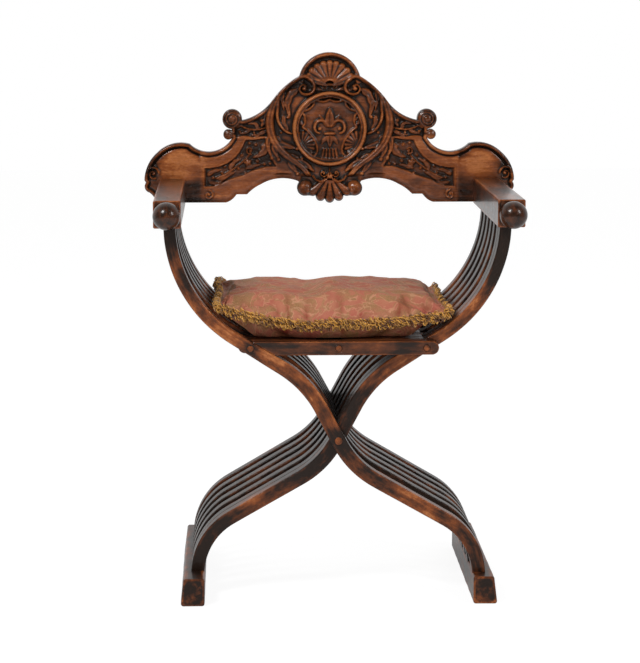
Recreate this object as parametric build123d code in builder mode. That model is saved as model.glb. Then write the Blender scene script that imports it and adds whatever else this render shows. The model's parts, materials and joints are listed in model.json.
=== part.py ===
"""Savonarola armchair in carved walnut.

Two S-curved frames of thin slats interleave like a comb and turn on one long pivot rod.
Each frame carries an arm at its upper end and a floor runner at its lower end.
Seat slats hinge on the frames near the seat's two sides and cross at the seat's centre rod.
A carved back board drops over a pin at the rear end of each arm and holds the chair open.

Units are millimetres.  +Z is up, -Y is the sitter's front and +X is the sitter's left hand.
The origin is on the floor, under the middle of the chair's overall width and depth.
"""
import os
from math import cos, radians, sin, tan

from build123d import *

# ---- overall sizes -------------------------------------------------------------------------
arm_top_height = 719.0
arm_length = 430.0
arm_width = 48.0
arm_height = 48.5
arm_spread = 298.0            # centre plane of the chair to the middle of an arm
pivot_height = 289.0
seat_rod_height = 454.5
seat_rod_spread = 155.0       # centre plane to a side seat rod
runner_length = 425.0
runner_height = 49.5

# ---- leg slats -----------------------------------------------------------------------------
slat_thickness = 27.0
slat_gap = 0.5                # air between neighbouring slats
layer_order = "LRRLRLRLRLRLR"  # front to back: L leads to the left arm, R to the right arm
slat_half_widths = (10.0, 10.5, 12.5, 13.0, 12.0, 11.5)  # at the corners of the centre line
slat_run_on = 12.0            # how far the centre line runs on into the arm and the runner
slat_head_inset = 3.0         # the slats' heads stand this far inside the arm's middle
slat_foot_inset = 1.0         # and their feet this far outside the runner's inner face
seat_run_angle = 31.6         # slope of the run under the seat
crossing_angle = 62.0         # slope of the run through the pivot
foot_run_angle = 30.0         # slope of the run above the runner
crossing_drop = 48.0          # height of the bend below the pivot
leg_bends = (238.0, 195.0, 165.0, 118.0)  # radii of the four bends, from the arm down
leg_turns = (-1, 1, -1, 1)    # which way each bend turns
bend_share = 0.95             # the share of a run that its bends may take up
tenon_width = 13.0
tenon_thickness = 15.0
tenon_length = 22.0
joinery_gap = 0.1

# ---- rods ----------------------------------------------------------------------------------
pivot_rod_diameter = 16.0
seat_rod_diameter = 13.0
rod_fit = 0.07                # radial clearance of a rod in its holes
rod_proud = 1.0               # each rod stands this far proud of the slats

# ---- seat slats ----------------------------------------------------------------------------
seat_slat_height = 24.0
seat_slat_tail = 21.5         # from the side rod to the rounded end
seat_tip_gap = 0.6            # between a seat slat's tip and the leg slat it bears on
notch_reach = 31.0            # how far the centre rod wanders in the notch as the chair folds
notch_gap = 1.0

# ---- runners, arms and knobs ---------------------------------------------------------------
runner_inner = 238.0          # centre plane to the runner's upright inner face
runner_top_width = 37.5
runner_foot_width = 43.5
runner_end_round = 6.0
arm_edge = 2.0
collar_radius = 20.5
collar_thickness = 5.5
collar_edge = 1.5
knob_neck_radius = 15.5
knob_neck_length = 3.0
knob_radius = 24.0
knob_tenon_radius = 7.0
knob_tenon_length = 26.0

# ---- back board ----------------------------------------------------------------------------
board_gap = 0.3               # between the arms' rear ends and the board
board_thickness = 22.0
board_rim_width = 8.0
board_rim_height = 4.0
crest_rise = 238.0            # heights on the board are counted from the arms' tops
crest_radius = 59.0
medallion_rise = 94.0
medallion_radius = 71.0
medallion_ring_width = 11.0
medallion_ring_height = 8.0
medallion_dish = 4.0
scroll_ball_spread = 184.5
scroll_ball_rise = 112.5
scroll_ball_radius = 18.5
small_ball_spread = 192.0
small_ball_rise = 83.5
small_ball_radius = 9.5
pendant_ball_spread = 47.0
pendant_ball_drop = 18.5
pendant_ball_radius = 15.0
pendant_fan_rise = 8.0        # hub of the pendant shell
pendant_fan_radius = 46.0     # hub to the middles of its scallops
pendant_scallop_radius = 9.0
pendant_scallop_step = 22.0   # degrees between the scallops
crest_hollow_radius = 49.0    # sunk ground round the crest shell
crest_hollow_depth = 4.5
crest_shell_rise = 184.0      # hub of the crest shell
crest_shell_hub = 8.0
crest_flutes = 9
crest_flute_step = 12.5       # degrees between the flutes of the crest shell
crest_flute_start = 11.0      # hub to the middles of a flute's two round ends
crest_flute_end = 34.0
crest_flute_radii = (1.0, 3.0)
pendant_flute_start = 16.0
pendant_flute_end = 43.0
pendant_flute_radii = (2.0, 6.0)
shell_height = 5.0            # the shells stand this far proud of the board's ground
scroll_height = 5.0
scroll_width = 9.0
scroll_path = (               # middle of the right C scroll, from the volute to the pendant
    (50, 185), (62, 182), (77, 173), (90, 159), (101, 143), (108, 127), (111, 110),
    (110, 94), (105, 78), (97, 64), (86, 51), (73, 40), (60, 31), (50, 21), (44, 11),
)
volute_spread = 44.0
volute_rise = 174.0
volute_radius = 12.5
volute_start = 61.0           # degrees; where the scroll runs into the volute
volute_sweep = 285.0
volute_width = 4.0
volute_bead = 4.0
lily_petal = (6.5, 17.0)      # half sizes of the medallion's upright petal
lily_petal_rise = 113.0
lily_foot = (4.5, 9.0)        # and of its foot
lily_foot_rise = 75.0
lily_band = (34.0, 6.0)
lily_band_rise = 85.0
lily_curl_spread = 17.0
lily_curl_rise = 100.0
lily_curl_radius = 8.5
lily_curl_width = 4.0
lily_curl_start = 200.0       # degrees; the right curl runs over its top to its outer foot
lily_curl_sweep = -240.0
board_pad_margin = 7.0        # flat ground around each arm's end
board_pad_sweep = 24.0        # and inwards, where that end passes as the board is lifted off
board_pin_radius = 6.0
board_pin_length = 13.0
board_pin_tenon = 25.0
board_pin_gap = 0.4
board_slot_depth = 15.0
board_slot_drop = 45.0        # from the pin's middle to below the board
board_slot_flare = 29.0       # degrees; the slot opens downwards and inwards

# ---- cushion -------------------------------------------------------------------------------
cushion_depth = 338.0
cushion_thickness = 100.0
cushion_inset = 19.0          # from the seat rods to the edges of the cushion's underside
cushion_lean = 7.1            # degrees; its sides stand this much steeper than the legs by them
cushion_shoulder = 56.0       # height at which the cushion reaches its full width
cushion_cheek = 72.0          # height at which its side turns into its crown
cushion_offset = -8.0         # the loose cushion lies a little towards the sitter's right
cushion_gap = 0.5
cushion_round = 22.0
fringe_reach = 11.0
fringe_height = 20.0
fringe_middle = 24.0          # height of the fringe above the seat at its lowest
fringe_corner = 70.0          # and at the cushion's corners

# ---- places that follow from the sizes -----------------------------------------------------
knob_centre = collar_thickness + knob_neck_length + (knob_radius**2 - knob_neck_radius**2) ** 0.5
knob_reach = knob_centre + knob_radius
overall_depth = knob_reach + arm_length + board_gap + board_thickness
arm_front = -overall_depth / 2 + knob_reach
arm_rear = arm_front + arm_length
arm_bottom = arm_top_height - arm_height
arm_middle = arm_top_height - arm_height / 2
board_front = arm_rear + board_gap
board_back = board_front + board_thickness
layer_pitch = slat_thickness + slat_gap
stack_depth = layer_pitch * len(layer_order) - slat_gap
frame_middle = (arm_front + arm_rear) / 2 - (arm_length - runner_length) / 2
stack_front = frame_middle - stack_depth / 2
seat_top = seat_rod_height + seat_slat_height / 2
seat_bottom = seat_rod_height - seat_slat_height / 2
medallion_height = arm_top_height + medallion_rise
left_layers = [place for place, side in enumerate(layer_order) if side == "L"]
right_layers = [place for place, side in enumerate(layer_order) if side == "R"]

os.makedirs("parts", exist_ok=True)


def finish(part, name):
    """Label a finished piece and write it under its own name."""
    part.label = name
    export_step(part, f"parts/{name}.step")


def layer_back(place):
    """Depth of the rear face of one layer of slats, counted from the front."""
    return stack_front + place * layer_pitch + slat_thickness


def upright(depth):
    """Sketch plane seen from the front, X to the right and Y up, at a depth in the chair."""
    return Plane.XZ.offset(-depth)


# ---- outline of a leg slat -----------------------------------------------------------------
# The centre line is straight runs joined by tangent arcs.  It comes down from the right arm,
# sweeps in through the seat rod, drops steeply through the pivot and sweeps out to the left
# runner; a left slat is its mirror image.  It runs on a little into the arm and the runner,
# and the outline is then cut level with them.
arm_tenon_x = arm_spread - slat_head_inset
foot_x = runner_inner + slat_foot_inset + slat_half_widths[-1]


def leg_corners():
    """Corners of the centre line's runs, from the arm to the runner."""
    seat_slope = tan(radians(seat_run_angle))
    crossing_slope = tan(radians(crossing_angle))
    foot_slope = tan(radians(foot_run_angle))
    under_arm = seat_rod_height + (arm_tenon_x - seat_rod_spread) * seat_slope
    seat_line = seat_rod_height - seat_rod_spread * seat_slope
    over_pivot = (seat_line - pivot_height) / (crossing_slope - seat_slope)
    under_pivot = -crossing_drop / crossing_slope
    over_foot = pivot_height - crossing_drop - (foot_x + under_pivot) * foot_slope
    return [
        Vector(arm_tenon_x, arm_bottom + slat_run_on),
        Vector(arm_tenon_x, under_arm),
        Vector(over_pivot, pivot_height + over_pivot * crossing_slope),
        Vector(under_pivot, pivot_height - crossing_drop),
        Vector(-foot_x, over_foot),
        Vector(-foot_x, runner_height - slat_run_on),
    ]


def fitted_bends(runs):
    """The bends' radii, eased where two neighbouring bends would leave no straight between them."""
    turns = [before.get_angle(after) for before, after in zip(runs, runs[1:])]
    tangents = [bend * tan(radians(turn) / 2) for bend, turn in zip(leg_bends, turns)]
    reach = [0] + tangents + [0]
    crowding = [
        max(1, (before + after) / (bend_share * run.length))
        for run, before, after in zip(runs, reach, reach[1:])
    ]
    return [bend / max(before, after) for bend, before, after in zip(leg_bends, crowding, crowding[1:])]


def leg_edge(side, extra):
    """Corners and radii of one edge, set off square from each run of the centre line."""
    corners = leg_corners()
    runs = [after - before for before, after in zip(corners, corners[1:])]
    squares = [run.normalized().rotate(Axis.Z, 90) * side for run in runs]
    squares = [squares[0]] + squares + [squares[-1]]
    points = []
    for corner, half, before, after in zip(corners, slat_half_widths, squares, squares[1:]):
        points.append(corner + (before + after) * ((half + extra) / (1 + before.dot(after))))
    radii = [
        bend - side * turn * (half + extra)
        for bend, turn, half in zip(fitted_bends(runs), leg_turns, slat_half_widths[1:])
    ]
    return points, radii


def leg_outline(extra=0.0):
    """The right leg slat's outline, or the room it needs when extra is given."""
    with BuildSketch() as outline:
        with BuildLine():
            outer_points, outer_radii = leg_edge(1, extra)
            inner_points, inner_radii = leg_edge(-1, extra)
            outer = FilletPolyline(*outer_points, radius=outer_radii)
            inner = FilletPolyline(*inner_points, radius=inner_radii)
            Line(outer @ 0, inner @ 0)
            Line(outer @ 1, inner @ 1)
        make_face()
        with Locations((0, (arm_bottom + runner_height) / 2)):
            Rectangle(3 * arm_spread, arm_bottom - runner_height, mode=Mode.INTERSECT)
    return outline.sketch


right_leg = leg_outline()
left_leg = right_leg.mirror(Plane.YZ)
right_leg_room = leg_outline(seat_tip_gap)
left_leg_room = right_leg_room.mirror(Plane.YZ)


def make_leg_slat(outline, hand, place, name):
    """One S-curved leg slat with a tenon at each end and holes for its two rods."""
    back = layer_back(place)
    middle = back - slat_thickness / 2
    with BuildPart() as slat:
        with BuildSketch(upright(back)):
            add(outline)
            with Locations((0, pivot_height)):
                Circle(pivot_rod_diameter / 2 + rod_fit, mode=Mode.SUBTRACT)
            with Locations((hand * seat_rod_spread, seat_rod_height)):
                Circle(seat_rod_diameter / 2 + rod_fit, mode=Mode.SUBTRACT)
        extrude(amount=slat_thickness)
        tenon_up = (hand * arm_tenon_x, middle, arm_bottom)
        tenon_down = (-hand * foot_x, middle, runner_height)
        with Locations(tenon_up):
            Box(tenon_width, tenon_thickness, tenon_length, align=(Align.CENTER, Align.CENTER, Align.MIN))
        with Locations(tenon_down):
            Box(tenon_width, tenon_thickness, tenon_length, align=(Align.CENTER, Align.CENTER, Align.MAX))
    finish(slat.part, name)


for number, place in enumerate(left_layers, 1):
    make_leg_slat(left_leg, -1, place, f"left_frame_slat_{number}")
for number, place in enumerate(right_layers, 1):
    make_leg_slat(right_leg, 1, place, f"right_frame_slat_{number}")


# ---- seat slats ----------------------------------------------------------------------------
def make_seat_slat(leg_room, hand, place, name):
    """One seat slat: hinged at its own side, crossing the centre rod, bearing on the far leg."""
    with BuildSketch() as outline:
        with BuildLine():
            end = hand * (seat_rod_spread + seat_slat_tail)
            tail = end - hand * seat_slat_height / 2
            tip = -hand * seat_rod_spread
            rounded = ThreePointArc((tail, seat_top), (end, seat_rod_height), (tail, seat_bottom))
            Polyline(rounded @ 1, (tip, seat_bottom), (tip, seat_top), rounded @ 0)
        make_face()
        add(leg_room, mode=Mode.SUBTRACT)
        with Locations((hand * seat_rod_spread, seat_rod_height)):
            Circle(seat_rod_diameter / 2 + rod_fit, mode=Mode.SUBTRACT)
        if hand > 0:
            with Locations((0, seat_rod_height)):
                Circle(seat_rod_diameter / 2 + rod_fit, mode=Mode.SUBTRACT)
        else:
            reach = seat_rod_diameter / 2 + notch_gap
            with Locations((-notch_reach / 2, seat_rod_height)):
                Rectangle(notch_reach + 2 * reach, 2 * reach, mode=Mode.SUBTRACT)
            with Locations((-notch_reach / 2, seat_rod_height + seat_slat_height / 4)):
                Rectangle(notch_reach + 2 * reach, seat_slat_height / 2, mode=Mode.SUBTRACT)
    body = outline.sketch.faces().sort_by(Axis.X)[-1 if hand > 0 else 0]
    with BuildPart() as slat:
        with BuildSketch(upright(layer_back(place))):
            add(body)
        extrude(amount=slat_thickness)
    finish(slat.part, name)


for number, place in enumerate(left_layers, 1):
    make_seat_slat(left_leg_room, 1, place, f"right_seat_slat_{number}")
for number, place in enumerate(right_layers, 1):
    make_seat_slat(right_leg_room, -1, place, f"left_seat_slat_{number}")


# ---- rods ----------------------------------------------------------------------------------
def make_rod(diameter, across, height, name):
    """A turned rod through the whole comb of slats, slightly domed where its ends show."""
    length = stack_depth + 2 * rod_proud
    with BuildPart() as rod:
        with BuildSketch(upright(stack_front + stack_depth + rod_proud)):
            with Locations((across, height)):
                Circle(diameter / 2)
        extrude(amount=length)
        chamfer(rod.edges().filter_by(GeomType.CIRCLE), length=rod_proud)
    finish(rod.part, name)


make_rod(pivot_rod_diameter, 0, pivot_height, "pivot_rod")
make_rod(seat_rod_diameter, -seat_rod_spread, seat_rod_height, "left_seat_rod")
make_rod(seat_rod_diameter, seat_rod_spread, seat_rod_height, "right_seat_rod")
make_rod(seat_rod_diameter, 0, seat_rod_height, "centre_seat_rod")


# ---- arms and runners ----------------------------------------------------------------------
def tenon_places(layers):
    """Depths of the middles of the given layers."""
    return [layer_back(place) - slat_thickness / 2 for place in layers]


def make_arm(hand, layers, name):
    """A square arm rail, mortised below for its slats and bored at both ends."""
    with BuildPart() as arm:
        with BuildSketch(upright(arm_rear)):
            with Locations((hand * arm_spread, arm_middle)):
                RectangleRounded(arm_width, arm_height, arm_edge)
        extrude(amount=arm_length)
        with Locations([(hand * arm_tenon_x, depth, arm_bottom) for depth in tenon_places(layers)]):
            Box(
                tenon_width + 2 * joinery_gap,
                tenon_thickness + 2 * joinery_gap,
                tenon_length + joinery_gap,
                align=(Align.CENTER, Align.CENTER, Align.MIN),
                mode=Mode.SUBTRACT,
            )
        with BuildSketch(upright(arm_front + knob_tenon_length + joinery_gap)):
            with Locations((hand * arm_spread, arm_middle)):
                Circle(knob_tenon_radius + rod_fit)
        extrude(amount=knob_tenon_length + joinery_gap, mode=Mode.SUBTRACT)
        with BuildSketch(upright(arm_rear)):
            with Locations((hand * arm_spread, arm_middle)):
                Circle(board_pin_radius + rod_fit)
        extrude(amount=board_pin_tenon + joinery_gap, mode=Mode.SUBTRACT)
    finish(arm.part, name)


def make_runner(hand, layers, name):
    """A floor runner: upright inside, splayed outside, its lower ends eased by wear."""
    outer_top = hand * (runner_inner + runner_top_width)
    outer_low = hand * (runner_inner + runner_foot_width)
    inner = hand * runner_inner
    with BuildPart() as runner:
        with BuildSketch(upright(frame_middle + runner_length / 2)):
            with BuildLine():
                Polyline(
                    (inner, 0),
                    (outer_low, 0),
                    (outer_top, runner_height),
                    (inner, runner_height),
                    close=True,
                )
            make_face()
        extrude(amount=runner_length)
        fillet(runner.edges().group_by(Axis.Z)[0], radius=runner_end_round)
        with Locations([(hand * foot_x, depth, runner_height) for depth in tenon_places(layers)]):
            Box(
                tenon_width + 2 * joinery_gap,
                tenon_thickness + 2 * joinery_gap,
                tenon_length + joinery_gap,
                align=(Align.CENTER, Align.CENTER, Align.MAX),
                mode=Mode.SUBTRACT,
            )
    finish(runner.part, name)


make_arm(-1, left_layers, "left_arm")
make_arm(1, right_layers, "right_arm")
make_runner(-1, right_layers, "left_runner")
make_runner(1, left_layers, "right_runner")


# ---- knobs and board pins ------------------------------------------------------------------
def make_knob(hand, name):
    """A turned ball on a collar, with its tenon, spun about the arm's own axis."""
    with BuildPart() as knob:
        with BuildSketch(Plane.XY) as profile:
            with BuildLine():
                tip = (0, knob_centre + knob_radius)
                side = (knob_radius, knob_centre)
                neck = (knob_neck_radius, collar_thickness + knob_neck_length)
                ball = ThreePointArc(tip, side, neck)
                Polyline(
                    ball @ 1,
                    (knob_neck_radius, collar_thickness),
                    (collar_radius - collar_edge, collar_thickness),
                    (collar_radius, collar_thickness - collar_edge),
                    (collar_radius, 0),
                    (knob_tenon_radius, 0),
                    (knob_tenon_radius, -knob_tenon_length),
                    (0, -knob_tenon_length),
                    ball @ 0,
                )
            make_face()
        revolve(axis=Axis.Y)
    turned = knob.part.rotate(Axis.X, 180)
    finish(turned.moved(Location((hand * arm_spread, arm_front, arm_middle))), name)


def make_board_pin(hand, name):
    """A dowel let into the arm's rear end; the back board's slot drops over it."""
    with BuildPart() as pin:
        with BuildSketch(upright(arm_rear - board_pin_tenon)):
            with Locations((hand * arm_spread, arm_middle)):
                Circle(board_pin_radius)
        extrude(amount=-board_pin_tenon - board_pin_length)
        chamfer(pin.edges().filter_by(GeomType.CIRCLE), length=1)
    finish(pin.part, name)


make_knob(-1, "left_knob")
make_knob(1, "right_knob")
make_board_pin(-1, "left_board_pin")
make_board_pin(1, "right_board_pin")


# ---- back board ----------------------------------------------------------------------------
def by_middle(across, rise):
    """A point of the board's middle, counted from the chair's centre and the arms' tops."""
    return Vector(across, arm_top_height + rise)


def by_arm(across, rise):
    """A point of the board's outer end, counted from the arm's middle and top."""
    return Vector(arm_spread + across, arm_top_height + rise)


def board_field():
    """The board's outline without its turned scroll ends, drawn for one half and mirrored."""
    crest_middle = by_middle(0, crest_rise - crest_radius)
    with BuildSketch() as outline:
        with BuildLine():
            crest = CenterArc(crest_middle, crest_radius, 90, -76)
            shoulder = ThreePointArc(crest @ 1, by_middle(85, 173.5), by_middle(108, 148))
            neck = ThreePointArc(shoulder @ 1, by_middle(134, 123), by_middle(166, 110))
            scoop = ThreePointArc(by_arm(-114, 78), by_arm(-70, 50.5), by_arm(-32.5, 65.5))
            lobe = ThreePointArc(scoop @ 1, by_arm(1, 65.5), by_arm(29, 49))
            lobe_end = ThreePointArc(lobe @ 1, by_arm(48, 23), by_arm(53.5, -2.5))
            ear = ThreePointArc(by_arm(50.5, -7), by_arm(52.5, -18), by_arm(44, -26))
            ear_foot = ThreePointArc(ear @ 1, by_arm(36, -34), by_arm(31.5, -45.5))
            step = ThreePointArc(by_arm(-101, -45.5), by_arm(-112, -40), by_arm(-121, -30))
            rise = ThreePointArc(by_arm(-141, -30), by_arm(-152, -20), by_arm(-167, -11))
            sweep_up = ThreePointArc(rise @ 1, by_middle(98, 0), by_middle(60, -5))
            Polyline(neck @ 1, by_middle(186, 96), scoop @ 0)
            Line(lobe_end @ 1, ear @ 0)
            Line(ear_foot @ 1, step @ 0)
            Line(step @ 1, rise @ 0)
            Polyline(sweep_up @ 1, by_middle(44, -33), by_middle(0, -33), crest @ 0)
        make_face()
        mirror(about=Plane.YZ)
    return outline.sketch


def board_sketch():
    """The whole outline: the field with its scroll ends and the pendant shell's scallops."""
    with BuildSketch() as outline:
        add(board_field())
        for hand in (-1, 1):
            with Locations(by_middle(hand * scroll_ball_spread, scroll_ball_rise)):
                Circle(scroll_ball_radius)
            with Locations(by_middle(hand * small_ball_spread, small_ball_rise)):
                Circle(small_ball_radius)
            with Locations(by_middle(hand * pendant_ball_spread, -pendant_ball_drop)):
                Circle(pendant_ball_radius)
        for step in (-2, -1, 0, 1, 2):
            lean = radians(step * pendant_scallop_step)
            hub = by_middle(0, pendant_fan_rise)
            with Locations(hub + Vector(sin(lean), -cos(lean)) * pendant_fan_radius):
                Circle(pendant_scallop_radius)
    return outline.sketch


board_outline = board_sketch()


def board_slot(hand):
    """Front view of the slot that drops over an arm's pin: it flares inwards as it opens."""
    radius = board_pin_radius + board_pin_gap
    lean = radians(board_slot_flare)
    pin = Vector(hand * arm_spread, arm_middle)
    flare_top = pin + Vector(-hand * radius * cos(lean), radius * sin(lean))
    flare_foot = flare_top.X - hand * board_slot_drop * tan(lean)
    outside = pin.X + hand * radius
    foot = arm_middle - board_slot_drop
    with BuildSketch() as slot:
        with BuildLine():
            Polyline((outside, arm_middle), (outside, foot), (flare_foot, foot), flare_top, close=True)
        make_face()
        with Locations(pin):
            Circle(radius)
    return slot.sketch


def flute_sketch(hub, lean, start, end, radii):
    """One flute of a shell: a rounded petal that widens away from the hub."""
    ray = Vector(sin(radians(lean)), cos(radians(lean)))
    with BuildSketch() as flute:
        with Locations(hub + ray * start):
            Circle(radii[0])
        with Locations(hub + ray * end):
            Circle(radii[1])
        make_hull()
    return flute.sketch


def crest_shell_sketch():
    """The crest shell's flutes, fanned out over its hub."""
    hub = by_middle(0, crest_shell_rise)
    with BuildSketch() as shell:
        for flute in range(crest_flutes):
            lean = (flute - (crest_flutes - 1) / 2) * crest_flute_step
            add(flute_sketch(hub, lean, crest_flute_start, crest_flute_end, crest_flute_radii))
        with Locations(hub):
            Circle(crest_shell_hub)
    return shell.sketch


def pendant_shell_sketch():
    """The pendant shell's flutes, one over each of its scallops."""
    hub = by_middle(0, pendant_fan_rise)
    with BuildSketch() as shell:
        for step in (-2, -1, 0, 1, 2):
            lean = 180 + step * pendant_scallop_step
            add(flute_sketch(hub, lean, pendant_flute_start, pendant_flute_end, pendant_flute_radii))
    return shell.sketch


def crest_hollow_sketch():
    """The sunk ground round the crest shell: round above, level below."""
    with BuildSketch() as hollow:
        with Locations(by_middle(0, crest_rise - crest_radius)):
            Circle(crest_hollow_radius)
        with Locations(by_middle(0, crest_shell_rise + crest_hollow_radius)):
            Rectangle(2 * crest_hollow_radius, 2 * crest_hollow_radius, mode=Mode.INTERSECT)
    return hollow.sketch


def scroll_sketch():
    """The two C scrolls, each with the volute that it winds into and the volute's bead."""
    with BuildSketch() as scrolls:
        for hand in (-1, 1):
            volute_middle = by_middle(hand * volute_spread, volute_rise)
            start = volute_start if hand > 0 else 180 - volute_start
            with BuildLine():
                Spline(*[by_middle(hand * across, rise) for across, rise in scroll_path])
            trace(line_width=scroll_width)
            with BuildLine():
                CenterArc(volute_middle, volute_radius, start, hand * volute_sweep)
            trace(line_width=volute_width)
            with Locations(volute_middle):
                Circle(volute_bead)
    return scrolls.sketch


def lily_sketch():
    """The medallion's fleur-de-lis: upright petal, foot, band and two side curls."""
    with BuildSketch() as lily:
        with Locations(by_middle(0, lily_petal_rise)):
            Ellipse(*lily_petal)
        with Locations(by_middle(0, lily_foot_rise)):
            Ellipse(*lily_foot)
        with Locations(by_middle(0, lily_band_rise)):
            Rectangle(*lily_band)
        for hand in (-1, 1):
            start = lily_curl_start if hand > 0 else 180 - lily_curl_start
            curl_middle = by_middle(hand * lily_curl_spread, lily_curl_rise)
            with BuildLine():
                CenterArc(curl_middle, lily_curl_radius, start, hand * lily_curl_sweep)
            trace(line_width=lily_curl_width)
    return lily.sketch


crest_shell = crest_shell_sketch()
crest_hollow = crest_hollow_sketch()
pendant_shell = pendant_shell_sketch()
scrolls = scroll_sketch()
lily = lily_sketch()


with BuildPart() as back_board:
    with BuildSketch(upright(board_back)):
        add(board_outline)
    extrude(amount=board_thickness + board_rim_height)
    with BuildSketch(upright(board_front)):
        offset(board_field(), amount=-board_rim_width)
        pad_width = arm_width + 2 * board_pad_margin + board_pad_sweep
        pad_spread = arm_spread - board_pad_sweep / 2
        with Locations((-pad_spread, arm_middle), (pad_spread, arm_middle)):
            Rectangle(pad_width, arm_height + 2 * board_pad_margin)
    extrude(amount=board_rim_height, mode=Mode.SUBTRACT)
    with BuildSketch(upright(board_front)):
        with Locations((0, medallion_height)):
            Circle(medallion_radius)
            Circle(medallion_radius - medallion_ring_width, mode=Mode.SUBTRACT)
    extrude(amount=medallion_ring_height)
    with BuildSketch(upright(board_front)):
        with Locations((0, medallion_height)):
            Circle(medallion_radius - medallion_ring_width)
    extrude(amount=-medallion_dish, mode=Mode.SUBTRACT)
    with BuildSketch(upright(board_front)):
        add(crest_hollow)
    extrude(amount=-crest_hollow_depth, mode=Mode.SUBTRACT)
    with BuildSketch(upright(board_front + crest_hollow_depth)):
        add(crest_shell)
    extrude(amount=crest_hollow_depth + shell_height)
    with BuildSketch(upright(board_front)):
        add(pendant_shell)
    extrude(amount=shell_height)
    with BuildSketch(upright(board_front)):
        add(scrolls)
    extrude(amount=scroll_height)
    with BuildSketch(upright(board_front + medallion_dish)):
        add(lily)
    extrude(amount=medallion_dish + scroll_height)
    with BuildSketch(upright(board_front + board_slot_depth)):
        add(board_slot(-1))
        add(board_slot(1))
    extrude(amount=board_slot_depth, mode=Mode.SUBTRACT)
finish(back_board.part, "back_board")


# ---- cushion and its fringe ----------------------------------------------------------------
cushion_low = seat_top + cushion_gap
cushion_front = frame_middle - cushion_depth / 2
cushion_foot = seat_rod_spread - cushion_inset
cushion_side = cushion_foot + cushion_shoulder / tan(radians(seat_run_angle + cushion_lean))


def cushion_outline(extra=0.0):
    """The cushion seen from the front: flat below, spread by the legs, crowned on top."""
    half = cushion_side + extra
    foot = cushion_foot + extra
    low = cushion_low - extra
    shoulder = cushion_low + cushion_shoulder
    cheek = cushion_low + cushion_cheek
    crown = cushion_low + cushion_thickness + extra
    with BuildSketch() as outline:
        with BuildLine():
            top = ThreePointArc((half, cheek), (0, crown), (-half, cheek))
            Polyline(top @ 1, (-half, shoulder), (-foot, low), (foot, low), (half, shoulder), top @ 0)
        make_face()
    return outline.sketch.moved(Location((cushion_offset, 0)))


with BuildPart() as cushion:
    with BuildSketch(upright(cushion_front + cushion_depth)):
        add(cushion_outline())
    extrude(amount=cushion_depth)
    fillet(cushion.edges().filter_by(Axis.Z), radius=cushion_round)
finish(cushion.part, "cushion")

with BuildPart() as fringe:
    with BuildSketch(upright(cushion_front + cushion_depth + fringe_reach)):
        with BuildLine():
            left = cushion_offset - cushion_side - fringe_reach
            right = cushion_offset + cushion_side + fringe_reach
            middle = cushion_low + fringe_middle
            corner = cushion_low + fringe_corner
            rise = fringe_height / 2
            upper = ThreePointArc(
                (left, corner + rise), (cushion_offset, middle + rise), (right, corner + rise)
            )
            lower = ThreePointArc(
                (left, corner - rise), (cushion_offset, middle - rise), (right, corner - rise)
            )
            Line(upper @ 0, lower @ 0)
            Line(upper @ 1, lower @ 1)
        make_face()
    extrude(amount=cushion_depth + 2 * fringe_reach)
    with BuildSketch(upright(cushion_front + cushion_depth + cushion_gap)):
        add(cushion_outline(cushion_gap))
    extrude(amount=cushion_depth + 2 * cushion_gap, mode=Mode.SUBTRACT)
finish(fringe.part, "cushion_fringe")
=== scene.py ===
"""The looks of a savonarola armchair in carved walnut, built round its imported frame.

Everything is in metres, in the frame's own axes: +Z is up, -Y is the way the sitter faces.
"""

import json
import math

import bmesh
import bpy
import numpy as np
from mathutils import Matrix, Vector, noise
from mathutils.geometry import delaunay_2d_cdt


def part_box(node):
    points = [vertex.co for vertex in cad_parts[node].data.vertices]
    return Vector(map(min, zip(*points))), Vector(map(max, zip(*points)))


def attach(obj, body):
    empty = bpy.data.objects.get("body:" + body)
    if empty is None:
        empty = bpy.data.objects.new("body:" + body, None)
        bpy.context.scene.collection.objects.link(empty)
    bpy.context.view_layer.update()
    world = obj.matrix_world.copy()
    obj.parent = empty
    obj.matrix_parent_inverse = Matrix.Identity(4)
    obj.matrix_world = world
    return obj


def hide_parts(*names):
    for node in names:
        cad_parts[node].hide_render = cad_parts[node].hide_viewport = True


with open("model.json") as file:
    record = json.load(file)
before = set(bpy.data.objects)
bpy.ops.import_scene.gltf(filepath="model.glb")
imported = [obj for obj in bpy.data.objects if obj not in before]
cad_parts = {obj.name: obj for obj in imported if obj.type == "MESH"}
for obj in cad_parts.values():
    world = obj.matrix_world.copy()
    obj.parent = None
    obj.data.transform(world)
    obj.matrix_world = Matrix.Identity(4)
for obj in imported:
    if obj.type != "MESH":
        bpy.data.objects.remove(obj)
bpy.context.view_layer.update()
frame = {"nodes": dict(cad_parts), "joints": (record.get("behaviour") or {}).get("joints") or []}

# ---- Leg slats -------------------------------------------------------------------------------
# Thirteen S-curved slats, each sawn to shape from walnut plank, scraped and waxed.  They lie side
# by side in two interleaved frames, tenoned into an arm above and a runner below.  Hands and
# shoes have rubbed the outer ones orange between their dark ends; the inner slats, the ends and
# the places at the seat rod and the pivot are kept dark partly by painted shade.


class Value:
    """A number or colour that varies over a surface; arithmetic on it adds shader nodes."""

    def __init__(self, finish, socket):
        self.finish = finish
        self.socket = socket

    def maths(self, operation, first, second):
        return self.finish.node("Math", {"operation": operation}, {0: first, 1: second})

    def __add__(self, other):
        return self.maths("ADD", self, other)

    def __sub__(self, other):
        return self.maths("SUBTRACT", self, other)

    def __rsub__(self, other):
        return self.maths("SUBTRACT", other, self)

    def __mul__(self, other):
        return self.maths("MULTIPLY", self, other)

    __radd__ = __add__
    __rmul__ = __mul__

    def most(self, other):
        return self.maths("MAXIMUM", self, other)

    def least(self, other):
        return self.maths("MINIMUM", self, other)

    def between(self, low, high):
        """0 below low, 1 above high, and a smooth step between them."""
        sockets = {"Value": self, "From Min": low, "From Max": high}
        return self.finish.node("MapRange", {"interpolation_type": "SMOOTHSTEP"}, sockets)


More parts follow.
